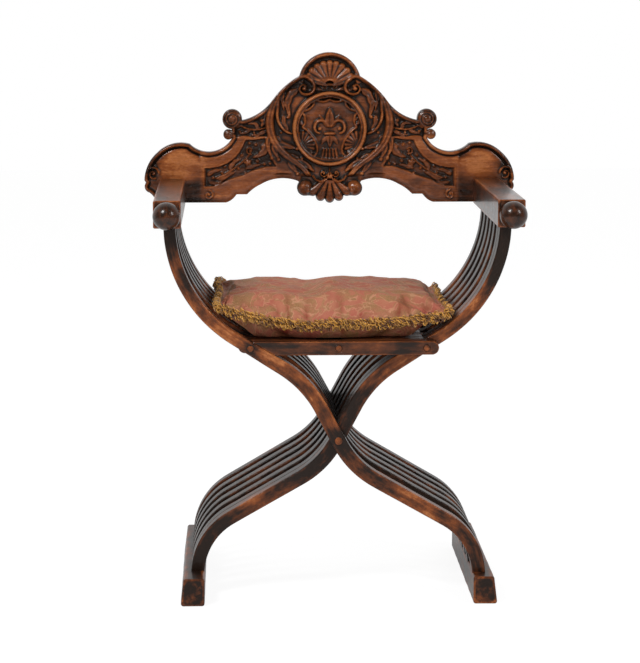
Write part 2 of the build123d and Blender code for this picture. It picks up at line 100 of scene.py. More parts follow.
class Shading:
    """A tree of shader nodes in the making.  Every node comes from node()."""

    def __init__(self, owner):
        owner.use_nodes = True
        self.tree = owner.node_tree

    def node(self, kind, settings=None, sockets=None, output=0):
        """One shader node: first its settings, then the values or links of its sockets."""
        made = self.tree.nodes.new("ShaderNode" + kind)
        for name, value in (settings or {}).items():
            setattr(made, name, value)
        for name, value in (sockets or {}).items():
            self.feed(made.inputs[name], value)
        return Value(self, made.outputs[output])

    def feed(self, socket, value):
        if isinstance(value, Value):
            self.tree.links.new(value.socket, socket)
        else:
            socket.default_value = value


class Finish(Shading):
    """A material in the making."""

    def __init__(self, name):
        self.material = bpy.data.materials.new(name)
        super().__init__(self.material)
        self.surface = self.tree.nodes["Principled BSDF"]

    def field(self, name, output="Fac"):
        """A value that the mesh carries at its points."""
        return self.node("Attribute", {"attribute_name": name}, output=output)

    def stretched(self, vector, along, across, shift=(0, 0, 0)):
        """A vector scaled along the grain and across it, then moved."""
        sockets = {0: vector, 1: (along, across, across), 2: shift}
        return self.node("VectorMath", {"operation": "MULTIPLY_ADD"}, sockets)

    def cloud(self, vector, detail=4.0, roughness=0.55, distortion=0.0):
        """Soft noise, about 0.3 to 0.7, one unit across."""
        sockets = {"Vector": vector, "Scale": 1.0, "Detail": detail, "Roughness": roughness}
        return self.node("TexNoise", None, {**sockets, "Distortion": distortion})

    def mix(self, share, first, second, blend="MIX"):
        settings = {"data_type": "RGBA", "blend_type": blend, "clamp_factor": True}
        return self.node("Mix", settings, {0: share, 6: first, 7: second}, output=2)

    def relief(self, height, distance, strength=1.0):
        """Feeds the surface's normal from a height in units of distance, in metres."""
        sockets = {"Height": height, "Distance": distance, "Strength": strength}
        self.feed(self.surface.inputs["Normal"], self.node("Bump", None, sockets))

    def settle(self, **sockets):
        """Sets the surface's own sockets, given as base_color=..., coat_weight=... and so on."""
        for name, value in sockets.items():
            label = name.replace("_", " ").title().replace("Ior", "IOR")
            self.feed(self.surface.inputs[label], value)
        return self.material


def colour(red, green, blue):
    """A colour from its display values, 0 to 255."""
    shares = [value / 255 for value in (red, green, blue)]
    return (*[s / 12.92 if s < 0.04045 else ((s + 0.055) / 1.055) ** 2.4 for s in shares], 1)


wax_dirt = colour(22, 13, 8)
black_walnut = colour(30, 18, 11)
brown_walnut = colour(82, 43, 22)
rubbed_walnut = colour(128, 68, 32)
bare_walnut = colour(172, 106, 60)


def walnut(name, rubbed=0.0, polish=0.5, coarse=1.0, mottling=1.0):
    """Old waxed walnut: nearly black where wax and dirt lie or shade is painted, orange where it is
    rubbed.
    """
    wood = Finish(name)
    grain = wood.field("grain", "Vector")
    wear_and_shading = wood.field("wear_and_shading")
    grime = wood.field("grime")
    figure = wood.cloud(wood.stretched(grain, 9, 110), 5.0, 0.6, 0.6)
    pores = wood.cloud(wood.stretched(grain, 55, 1500, (3, 1, 7)), 3.0, 0.6)
    mottle = wood.cloud(wood.stretched(grain, 38 * coarse, 75 * coarse), 6.0, 0.62)
    patches = wood.cloud(wood.stretched(grain, 11 * coarse, 22 * coarse, (5, 2, 1)), 3.0)
    scratch = wood.cloud(wood.stretched(grain, 22, 420, (1, 8, 3)), 2.0)
    flecks = wood.cloud(wood.stretched(grain, 150, 330, (2, 4, 9)), 4.0, 0.7)
    uneven = (mottle - 0.5) * (1.1 * mottling) + (patches - 0.5) * (1.3 * mottling)
    rub_and_shading = uneven + (figure - 0.5) * 0.7
    # the wear field is real wear, and on the slats and the carved board painted shade and highlight
    # as well
    rub_and_shading = (rub_and_shading + wear_and_shading + (0.42 + rubbed) - grime).between(0.0, 1.0)
    shade = wood.mix(rub_and_shading.between(0.0, 0.42), black_walnut, brown_walnut)
    shade = wood.mix((rub_and_shading + (flecks - 0.5) * 0.5).between(0.35, 0.85), shade, rubbed_walnut)
    bareness_and_shading = rub_and_shading + (flecks - 0.5) * 0.7 + (figure - 0.5) * 0.4
    shade = wood.mix(bareness_and_shading.between(0.78, 1.15), shade, bare_walnut)
    streaks = pores.between(0.58, 0.72) * 0.5
    shade = wood.mix(streaks, shade, black_walnut)
    shade = wood.mix((grime * 0.9).between(0.1, 0.95) * 0.9, shade, wax_dirt)
    dull = 0.50 - 0.24 * polish + (mottle - 0.5) * 0.25 + grime * 0.25 + streaks * 0.15
    height = figure * 0.25 - streaks * 0.4 + mottle * 0.7 + scratch * 0.25 + flecks * 0.12
    wood.relief(height, 0.0005)
    return wood.settle(
        base_color=shade,
        roughness=dull.most(0.16),
        coat_weight=(0.05 + 0.5 * polish) * (1 - grime * 0.7),
        coat_roughness=0.12,
        coat_ior=1.4,
        specular_ior_level=0.18,
    )


def new_piece(name, vertices, faces, material, smooth=True):
    """A mesh object of its own, in the row frame."""
    mesh = bpy.data.meshes.new(name)
    mesh.from_pydata([tuple(v) for v in vertices], [], [tuple(f) for f in faces])
    mesh.validate()
    mesh.materials.append(material)
    if smooth:
        shape = bmesh.new()
        shape.from_mesh(mesh)
        bmesh.ops.recalc_face_normals(shape, faces=shape.faces)
        shape.to_mesh(mesh)
        shape.free()
        mesh.shade_smooth()
    piece = bpy.data.objects.new(name, mesh)
    bpy.context.scene.collection.objects.link(piece)
    return piece


def lay(piece, name, values):
    """Writes a number or a vector at each point of a piece, for its material to read."""
    values = np.asarray(values, np.float32)
    kind = "FLOAT_VECTOR" if values.ndim == 2 else "FLOAT"
    field = piece.data.attributes.new(name, kind, "POINT")
    field.data.foreach_set("vector" if values.ndim == 2 else "value", values.ravel())


def lay_wood(piece, grain, wear_and_shading, grime=None):
    """Lays what the walnut reads: each point's place in the grain, its wear and painted shading,
    its grime.
    """
    lay(piece, "grain", grain)
    lay(piece, "wear_and_shading", wear_and_shading)
    lay(piece, "grime", np.zeros(len(wear_and_shading)) if grime is None else grime)


def skin(start, rings, size):
    """Four-sided faces between rings of points that follow each other from number start on."""
    faces = []
    for row in range(start, start + (rings - 1) * size, size):
        for spot in range(size):
            a, b = row + spot, row + (spot + 1) % size
            faces.append((a, b, b + size, a + size))
    return faces


def points_of(piece):
    flat = np.zeros(len(piece.data.vertices) * 3)
    piece.data.vertices.foreach_get("co", flat)
    return flat.reshape(-1, 3)


def even_shading(piece):
    """Keeps the flats flat between rounded arrises."""
    piece.modifiers.new("even shading", "WEIGHTED_NORMAL").keep_sharp = True


def fit(piece, body, slot, *nodes):
    """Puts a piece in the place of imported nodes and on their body."""
    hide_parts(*nodes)
    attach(piece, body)


hands = {"left": -1, "right": 1}
joints = {joint["name"]: joint for joint in frame["joints"]}
pivot_z = joints["fold"]["pos_m"][2]
seat_rod_x, _, seat_rod_z = joints["right_seat_fold"]["pos_m"]
arm_low, arm_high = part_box("right_arm")
_, runner_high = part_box("left_runner")

seat_slope = math.tan(math.radians(31.6))
crossing_slope = math.tan(math.radians(62))
foot_slope = math.tan(math.radians(30))
crossing_drop = 0.048         # how far below the pivot the straight crossing ends
leg_bends = (0.238, 0.195, 0.165, 0.118)
half_widths = (0.0100, 0.0105, 0.0125, 0.0130, 0.0120, 0.0115)
head_x = (arm_low.x + arm_high.x) / 2 - 0.003
foot_x = runner_high.x - 0.001 - half_widths[-1]
tuck = 0.002                  # how far a slat runs into its arm and its runner
slat_arris = 0.0021
station_step = 0.006          # how far apart the rings of points along a slat are


def leg_corners():
    """Corners of the right leg slat's centre line, in x and z, from the arm to the runner."""
    seat_line = seat_rod_z - seat_rod_x * seat_slope
    over_pivot = (seat_line - pivot_z) / (crossing_slope - seat_slope)
    under_pivot = -crossing_drop / crossing_slope
    over_foot = pivot_z - crossing_drop + (foot_x - under_pivot) * foot_slope
    return [
        (head_x, arm_low.z + tuck),
        (head_x, seat_line + head_x * seat_slope),
        (over_pivot, pivot_z + over_pivot * crossing_slope),
        (under_pivot, pivot_z - crossing_drop),
        (foot_x, over_foot),
        (foot_x, runner_high.z - tuck),
    ]


def eased_corner(before, corner, after, radius):
    """Points of the arc that rounds a corner, and the headings into it and out of it."""
    into = (corner - before) / np.linalg.norm(corner - before)
    out = (after - corner) / np.linalg.norm(after - corner)
    turn = math.acos(np.clip(into @ out, -1, 1))
    side = np.sign(into[0] * out[1] - into[1] * out[0])
    start = corner - into * radius * math.tan(turn / 2)
    centre = start + side * radius * np.array([-into[1], into[0]])
    arc = []
    for share in np.linspace(0, 1, max(4, round(radius * turn / station_step)) + 1):
        cos, sin = math.cos(side * turn * share), math.sin(side * turn * share)
        arc.append(centre + np.array([[cos, -sin], [sin, cos]]) @ (start - centre))
    return arc, into, out


def bent_route(corners, bends, widths):
    """Stations along straight runs joined by tangent arcs: point, heading and half width."""
    corners = [np.array(corner, float) for corner in corners]
    line, marks = [corners[0]], [widths[0]]
    for *trio, bend, width in zip(corners, corners[1:], corners[2:], bends, widths[1:]):
        arc, _, _ = eased_corner(*trio, bend)
        line += arc
        marks += [width] * len(arc)
    line = np.array(line + [corners[-1]])
    marks.append(widths[-1])
    travel = travelled(line)
    stations = np.linspace(0, travel[-1], round(travel[-1] / station_step) + 1)
    line = np.stack([np.interp(stations, travel, line[:, axis]) for axis in (0, 1)], 1)
    heading = np.gradient(line, axis=0)
    heading /= np.linalg.norm(heading, axis=1)[:, None]
    width = np.pad(np.interp(stations, travel, marks), 4, mode="edge")
    return stations, line, heading, np.convolve(width, np.ones(9) / 9, mode="valid")


def travelled(line):
    """How far along a line of points each of them is."""
    return np.concatenate([[0], np.cumsum(np.linalg.norm(np.diff(line, axis=0), axis=1))])


def bar_section(half_width, half_depth):
    """A rectangle with rounded arrises, as (across, deep, edge) rows; edge is 1 on the arrises."""
    rows = []
    flat = 1.6 * slat_arris
    for across, deep, start in ((1, 1, 0), (-1, 1, 90), (-1, -1, 180), (1, -1, 270)):
        for angle in (0, 30, 60, 90):
            turn = math.radians(start + angle)
            x = across * (half_width - slat_arris) + slat_arris * math.cos(turn)
            y = deep * (half_depth - slat_arris) + slat_arris * math.sin(turn)
            rows.append((x, y, 1.0))
        side = 2 * (half_width if start in (0, 180) else half_depth) - 2 * slat_arris
        for gone in (flat, side - flat):
            rows.append((x - gone * math.sin(turn), y + gone * math.cos(turn), 0.0))
    return rows


def dent(x, y, z, reach, scale):
    """A small unevenness of hand work at a place."""
    return reach * noise.noise(Vector((x, y, z)) * scale)


leg_route = bent_route(leg_corners(), leg_bends, half_widths)
slat_walnut = walnut("slat_walnut", rubbed=0.0, polish=0.3, mottling=1.15)
slat_arris_wear = 0.14
# bare (above 0) or dark (below 0) along a slat, from its head at 0 to its foot at 1; the two
# darkest places are at the seat rod and at the pivot.  The dark there and towards the foot is
# partly wood left unrubbed and partly painted shade.
slat_wear_and_shade = (
    (0, -0.50), (0.12, -0.34), (0.18, 0.06), (0.28, 0.04), (0.313, -0.75), (0.345, -0.06),
    (0.47, -0.10), (0.545, -0.42), (0.578, -0.68), (0.61, -0.42), (0.65, -0.16), (0.74, -0.10),
    (0.88, -0.22), (0.95, -0.40), (1, -0.48),
)


def leg_slat(side, number, bareness_and_shading):
    """One slat of a frame, swept along the leg's line; the left ones are mirror images."""
    node = f"{side}_frame_slat_{number}"
    low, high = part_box(node)
    middle_y, half_depth = (low.y + high.y) / 2, (high.y - low.y) / 2
    plank = number + 10 * hands[side]         # gives each slat a stretch of grain of its own
    vertices, grain, wear_and_shading = [], [], []
    stations = leg_route[0]
    for along, point, ahead, half in zip(*leg_route):
        square = np.array([-ahead[1], ahead[0]])
        # worn: the slat's own bareness and its place along the slat, real wear with painted shade
        # mixed in
        worn = bareness_and_shading + float(np.interp(along / stations[-1], *zip(*slat_wear_and_shade)))
        for across, deep, edge in bar_section(half, half_depth):
            x, z = point + square * across
            rough = 1 + dent(x, middle_y + deep, z, 0.012, 26)
            x, z = point + square * across * rough
            vertices.append((hands[side] * x, middle_y + deep, z))
            grain.append((along + 1.37 * plank, across, deep + 0.031 * plank))
            wear_and_shading.append(worn + slat_arris_wear * edge)
    size = len(vertices) // len(stations)
    faces = skin(0, len(stations), size)
    faces += [range(size), range(len(vertices) - size, len(vertices))]
    slat = new_piece(f"{side}_slat_{number}", vertices, faces, slat_walnut)
    lay_wood(slat, grain, wear_and_shading)
    even_shading(slat)
    fit(slat, f"{side}_frame", "walnut_slat", node)


# the inner slats and the right frame's front slat are kept darker than the left frame's front slat,
# partly as painted shade
outer_bareness_and_shade = {("left", 1): 0.18, ("right", 1): 0.02, ("left", 6): 0.0, ("right", 7): 0.0}
inner_bareness_and_shade = -0.16
for side, count in (("left", 6), ("right", 7)):
    for number in range(1, count + 1):
        leg_slat(side, number, outer_bareness_and_shade.get((side, number), inner_bareness_and_shade))


# ---- Seat slats ------------------------------------------------------------------------------
# Thirteen short walnut slats make the folding seat.  Each turns on the rod at its own side and
# crosses the middle rod; the front one shows its rounded end and three pegs.  Sawn, with the
# arrises taken off, rubbed bare along the top.


def face_loops(node, depth):
    """Outlines (x, z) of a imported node's flat face at a depth y: the outer one, then holes."""
    mesh = frame["nodes"][node].data
    flat = np.array([v.co for v in mesh.vertices])
    uses, spots = {}, {}
    for face in mesh.polygons:
        if abs(face.normal.y) < 0.99 or any(abs(flat[v][1] - depth) > 1e-5 for v in face.vertices):
            continue
        ring = [tuple(np.round(flat[v][[0, 2]], 6)) for v in face.vertices]
        for a, b in zip(ring, ring[1:] + ring[:1]):
            uses[frozenset((a, b))] = uses.get(frozenset((a, b)), 0) + 1
    edges = [tuple(pair) for pair, count in uses.items() if count == 1 and len(pair) == 2]
    for a, b in edges:
        spots.setdefault(a, []).append(b)
        spots.setdefault(b, []).append(a)
    loops = []
    while spots:
        start = next(iter(spots))
        loop, here = [start], start
        while spots.get(here):
            ahead = spots[here].pop()
            spots[ahead].remove(here)
            if not spots[here]:
                del spots[here]
            if ahead == start:
                spots.pop(ahead, None)
                break
            loop.append(ahead)
            here = ahead
        loops.append(np.array(loop))
    loops.sort(key=lambda loop: -abs(area(loop)))
    return [turned_left(loop, index == 0) for index, loop in enumerate(loops)]


def area(loop):
    """Signed area of a closed outline."""
    ahead = np.roll(loop, -1, 0)
    return 0.5 * float(np.sum(loop[:, 0] * ahead[:, 1] - ahead[:, 0] * loop[:, 1]))


def turned_left(loop, outer):
    return loop if (area(loop) > 0) == outer else loop[::-1]


def drawn_in(loop, inset):
    """An outline moved inwards, square to its edges."""
    back = loop - np.roll(loop, 1, 0)
    ahead = np.roll(loop, -1, 0) - loop
    back /= np.maximum(np.linalg.norm(back, axis=1), 1e-9)[:, None]
    ahead /= np.maximum(np.linalg.norm(ahead, axis=1), 1e-9)[:, None]
    square = np.stack([-(back + ahead)[:, 1], (back + ahead)[:, 0]], 1)
    length = np.maximum(np.linalg.norm(square, axis=1), 0.7)[:, None]
    return loop + square / length * (2 * inset / length)


def is_within(spot, loop):
    """Whether a place (x, z) is inside a closed outline."""
    after = np.roll(loop, -1, 0)
    steep = (loop[:, 1] > spot[1]) != (after[:, 1] > spot[1])
    start, run = loop[steep], (after - loop)[steep]
    meets = start[:, 0] + run[:, 0] * (spot[1] - start[:, 1]) / run[:, 1]
    return bool(np.count_nonzero(meets > spot[0]) % 2)


def infill(rings, vertices):
    """Triangles over a flat face, inside its outer ring of points and outside its holes' rings."""
    numbers = [spot for ring in rings for spot in ring]
    outline, *holes = [np.array([vertices[spot] for spot in ring])[:, [0, 2]] for ring in rings]
    spots = np.concatenate([outline, *holes]) * 1000
    edges = []
    for ring in rings:
        start = len(edges)
        edges += [(start + spot, start + (spot + 1) % len(ring)) for spot in range(len(ring))]
    made = delaunay_2d_cdt([Vector(spot) for spot in spots], edges, [], 1, 1e-6)
    triangles, sources = made[2:4]
    faces = []
    for triangle in triangles:
        trio = [sources[corner][0] for corner in triangle]
        middle = spots[trio].mean(0) / 1000
        if is_within(middle, outline) and not any(is_within(middle, hole) for hole in holes):
            faces.append([numbers[corner] for corner in trio])
    return faces


plate_arris_wear = 0.3


def plate(name, loops, front, back, material, lay_grain, arris, step, worn=None, rough=0.0):
    """A piece with one outline from front to back, its arrises rounded, and its holes kept.

    worn is 1 at the outer loop's points that are on a rounded corner.
    """
    flat = 0.4 * arris
    rings = [(front, arris + flat, 0.0)]
    for turn in (0, 0.5, 1.0, math.pi / 2):
        rings.append((front + arris * (1 - math.cos(turn)), arris * (1 - math.sin(turn)), 1.0))
    inner_front, inner_back = front + arris + flat, back - arris - flat
    count = max(1, round((inner_back - inner_front) / step))
    rings += [(y, 0.0, 0.0) for y in np.linspace(inner_front, inner_back, count + 1)]
    rings += [(front + back - y, inset, edge) for y, inset, edge in rings[4::-1]]
    vertices, wear_and_shading, faces, front_rings, back_rings = [], [], [], [], []
    for loop in loops:
        outer = loop is loops[0]
        start, size = len(vertices), len(loop)
        on_corner = worn if outer and worn is not None else np.zeros(size)
        for y, inset, edge in rings:
            for (x, z), corner in zip(drawn_in(loop, inset if outer else 0.25 * inset), on_corner):
                vertices.append((x, y, z))
                wear_and_shading.append(plate_arris_wear * max(edge, corner))
        faces += skin(start, len(rings), size)
        front_rings.append(range(start, start + size))
        back_rings.append(range(len(vertices) - size, len(vertices)))
    faces += infill(front_rings, vertices) + infill(back_rings, vertices)
    if rough:
        sole = min(z for _, _, z in vertices)
        vertices = [
            (x + dent(x, y, z, rough, 30), y, max(sole, z + dent(x + 5, y, z, rough, 30)))
            for x, y, z in vertices
        ]
    piece = new_piece(name, vertices, faces, material)
    lay_wood(piece, [lay_grain(*vertex) for vertex in vertices], wear_and_shading)
    even_shading(piece)
    return piece


rail_walnut = walnut("rail_walnut", rubbed=-0.12, polish=0.5, mottling=0.8)
seat_walnut = walnut("seat_walnut", rubbed=-0.22, polish=0.4)

for side, count in (("left", 7), ("right", 6)):
    for number in range(1, count + 1):
        node = f"{side}_seat_slat_{number}"
        low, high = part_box(node)
        front_rail = side == "right" and number == 1
        seat_slat = plate(
            f"{side}_short_slat_{number}",
            face_loops(node, low.y),
            low.y,
            high.y,
            rail_walnut if front_rail else seat_walnut,
            lambda x, y, z, shift=number: (x + shift, y + 0.03 * shift, z),
            arris=0.0014,
            step=0.03,
        )
        fit(seat_slat, f"{side}_seat", "walnut_slat", node)


# ---- Rods ------------------------------------------------------------------------------------
# Four dowels of paler wood run through the whole comb from front to back: the thick pivot rod
# where the frames cross, and three thinner ones under the seat.  Their rubbed, slightly domed
# ends show as round pegs.


def turned(name, profile, centre, material, segments):
    """A piece turned about a level axis that runs from front to back.

    The profile is (depth, radius, wear, grime), from the front end to the rear end.
    """
    x, z = centre
    vertices, wear_and_shading, grime = [], [], []
    for depth, radius, rubbed, dirty in profile:
        for spot in range(segments):
            angle = 2 * math.pi * spot / segments
            vertices.append((x + radius * math.cos(angle), depth, z + radius * math.sin(angle)))
        wear_and_shading += [rubbed] * segments
        grime += [dirty] * segments
    faces = skin(0, len(profile), segments)
    faces += [range(segments), range(len(vertices) - segments, len(vertices))]
    piece = new_piece(name, vertices, faces, material)
    lay_wood(piece, [(y, x, z) for x, y, z in vertices], wear_and_shading, grime)
    return piece


dowel = walnut("dowel_wood", rubbed=0.0, polish=0.35, coarse=2.2, mottling=0.6)
pivot_radius = 0.008
seat_rod_radius = 0.0065
# a rod's end: the depth from the tip, the share of the radius, the wear and the grime there
rod_end = (
    (0.0, 0.2, 0.2, 0.0),
    (0.00006, 0.5, 0.15, 0.0),
    (0.0003, 0.8, 0.1, 0.0),
    (0.0010, 0.99, 0.0, 0.9),
    (0.0014, 1.0, 0.0, 1.0),
)

for node, body, x, z, radius in (
    ("pivot_rod", "pivot", 0, pivot_z, pivot_radius),
    ("left_seat_rod", "left_frame", -seat_rod_x, seat_rod_z, seat_rod_radius),
    ("centre_seat_rod", "right_seat", 0, seat_rod_z, seat_rod_radius),
    ("right_seat_rod", "right_frame", seat_rod_x, seat_rod_z, seat_rod_radius),
):
    low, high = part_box(node)
    profile = [(low.y + depth, radius * share, *marks) for depth, share, *marks in rod_end]
    profile += [(high.y - depth, radius * share, *marks) for depth, share, *marks in rod_end[::-1]]
    rod = turned(f"{node}_dowel", profile, (x, z), dowel, 40)
    fit(rod, body, "dowel_wood", node)


# ---- Arms ------------------------------------------------------------------------------------
# Two square walnut rails, planed and waxed.  The slats' heads are tenoned into their undersides;
# sleeves have polished the tops, and the long arrises are rubbed pale.


def squared_outline(corners, radius, flat):
    """A convex outline with rounded corners: its points, and 1 where they are on a corner."""
    points, worn = [], []
    corners = [np.array(corner, float) for corner in corners]
    for trio in zip(corners[-1:] + corners[:-1], corners, corners[1:] + corners[:1]):
        arc, into, out = eased_corner(*trio, radius)
        points += [arc[0] - into * flat, *arc, arc[-1] + out * flat]
        worn += [0.0, *[1.0] * len(arc), 0.0]
    return np.array(points), worn


arm_walnut = walnut("arm_walnut", rubbed=-0.12, polish=0.75, mottling=0.8)

for side, hand in hands.items():
    low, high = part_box(f"{side}_arm")
    corners = [(low.x, low.z), (high.x, low.z), (high.x, high.z), (low.x, high.z)]
    outline, worn = squared_outline(corners, radius=0.0028, flat=0.004)
    arm = plate(
        f"{side}_arm_rail",
        [outline],
        low.y,
        high.y,
        arm_walnut,
        lambda x, y, z, shift=hand: (y + shift, x, z),
        arris=0.0018,
        step=0.012,
        worn=worn,
        rough=0.00022,
    )
    fit(arm, f"{side}_frame", "walnut_rail", f"{side}_arm")


# ---- Runners ---------------------------------------------------------------------------------
# Two heavy walnut runners carry the chair on the floor.  They are splayed outside, and a century
# of mopping and kicking has worn their lower edges round, pale and pitted.


runner_walnut = walnut("runner_walnut", rubbed=-0.24, polish=0.3, mottling=1.1)
splay = 0.006                 # how much wider the runner's foot is than its top

for side, hand in hands.items():
    low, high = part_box(f"{side}_runner")
    inner, outer = (high.x, low.x) if hand < 0 else (low.x, high.x)
    corners = [(inner, low.z), (outer, low.z), (outer - hand * splay, high.z), (inner, high.z)]
    outline, worn = squared_outline(corners[::hand], radius=0.0045, flat=0.006)
    runner = plate(
        f"{side}_floor_runner",
        [outline],
        low.y,
        high.y,
        runner_walnut,
        lambda x, y, z, shift=hand: (y + shift, x, z),
        arris=0.003,
        step=0.012,
        worn=worn,
        rough=0.0005,
    )
    fit(runner, "right_frame" if hand < 0 else "left_frame", "walnut_rail", f"{side}_runner")


# ---- Knobs -----------------------------------------------------------------------------------
# A turned walnut ball on a collar is tenoned into the front end of each arm.  It is French
# polished, and hands keep it the shiniest part of the chair.


knob_walnut = walnut("knob_walnut", rubbed=-0.20, polish=0.85, mottling=0.3)
ball_radius = 0.024
ball_turn = 141               # degrees from the ball's front to its neck
ball_steps = 20
neck_radius = 0.0150
collar_radius = 0.0205
collar_depth = 0.0055
tenon_radius = 0.007
tenon_depth = 0.025

for side in hands:
    low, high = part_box(f"{side}_knob")
    seat = arm_low.y
    collar = seat - collar_depth
    profile = []
    for step in range(1, ball_steps + 1):
        angle = math.radians(step * ball_turn / ball_steps)
        depth = low.y + ball_radius - ball_radius * math.cos(angle)
        profile.append((depth, ball_radius * math.sin(angle), 0.05, 0.0))
    profile[-1] = (*profile[-1][:2], 0.0, 0.8)
    profile += [
        (collar - 0.0012, neck_radius, 0.0, 1.0),
        (collar - 0.0002, neck_radius + 0.0012, 0.0, 0.9),
        (collar, collar_radius - 0.0022, 0.25, 0.1),
        (collar + 0.0004, collar_radius - 0.0008, 0.45, 0.0),
        (collar + 0.0018, collar_radius, 0.35, 0.0),
        (seat - 0.0016, collar_radius, 0.15, 0.0),
        (seat - 0.0004, collar_radius - 0.0006, 0.0, 0.6),
        (seat, collar_radius - 0.0012, 0.0, 1.0),
        (seat + 0.001, tenon_radius, 0.0, 1.0),
        (seat + tenon_depth, tenon_radius, 0.0, 1.0),
    ]
    centre = ((low.x + high.x) / 2, (low.z + high.z) / 2)
    knob = turned(f"{side}_ball_knob", profile, centre, knob_walnut, 56)
    fit(knob, f"{side}_frame", "walnut_turned", f"{side}_knob")


# ---- Board pins ------------------------------------------------------------------------------
# A dowel stands out of the rear end of each arm; the back board drops over the two of them.


pin_end = ((0.0, 0.3), (0.0002, 0.75), (0.001, 0.96), (0.0018, 1.0))     # depth, share of radius

for side in hands:
    low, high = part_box(f"{side}_board_pin")
    radius = (high.x - low.x) / 2
    profile = [(low.y + depth, radius * share, 0.2, 0.1) for depth, share in pin_end]
    profile += [(high.y - depth, radius * share, 0.3, 0.0) for depth, share in pin_end[::-1]]
    centre = ((low.x + high.x) / 2, (low.z + high.z) / 2)
    pin = turned(f"{side}_dowel_pin", profile, centre, dowel, 32)
    fit(pin, f"{side}_frame", "dowel_wood", f"{side}_board_pin")


# ---- Back board ------------------------------------------------------------------------------
# One walnut board, sawn to outline and carved in high relief on the front: a shell crest, paired
# C scrolls and acanthus leaves round a ringed medallion with a fleur-de-lis, sunk panels with
# leaf sprays, plain lobes behind the arms and a shell pendant.  The back is left flat.


def unit(field):
    """Holds shares between 0 and 1."""
    return np.clip(field, 0, 1)


def strip(gap, middle, half):
    """1 where a gap is at its middle value, and 0 from half a width off on either side."""
    return unit(1 - ((gap - middle) / half) ** 2)


def wave(phase):
    """Swings between 0 and 1, once for each whole phase."""
    return 0.5 + 0.5 * np.cos(2 * np.pi * phase)


def closed(outline):
    """An outline with its first point again at its end."""
    return np.vstack([outline, outline[:1]]).astype(float)


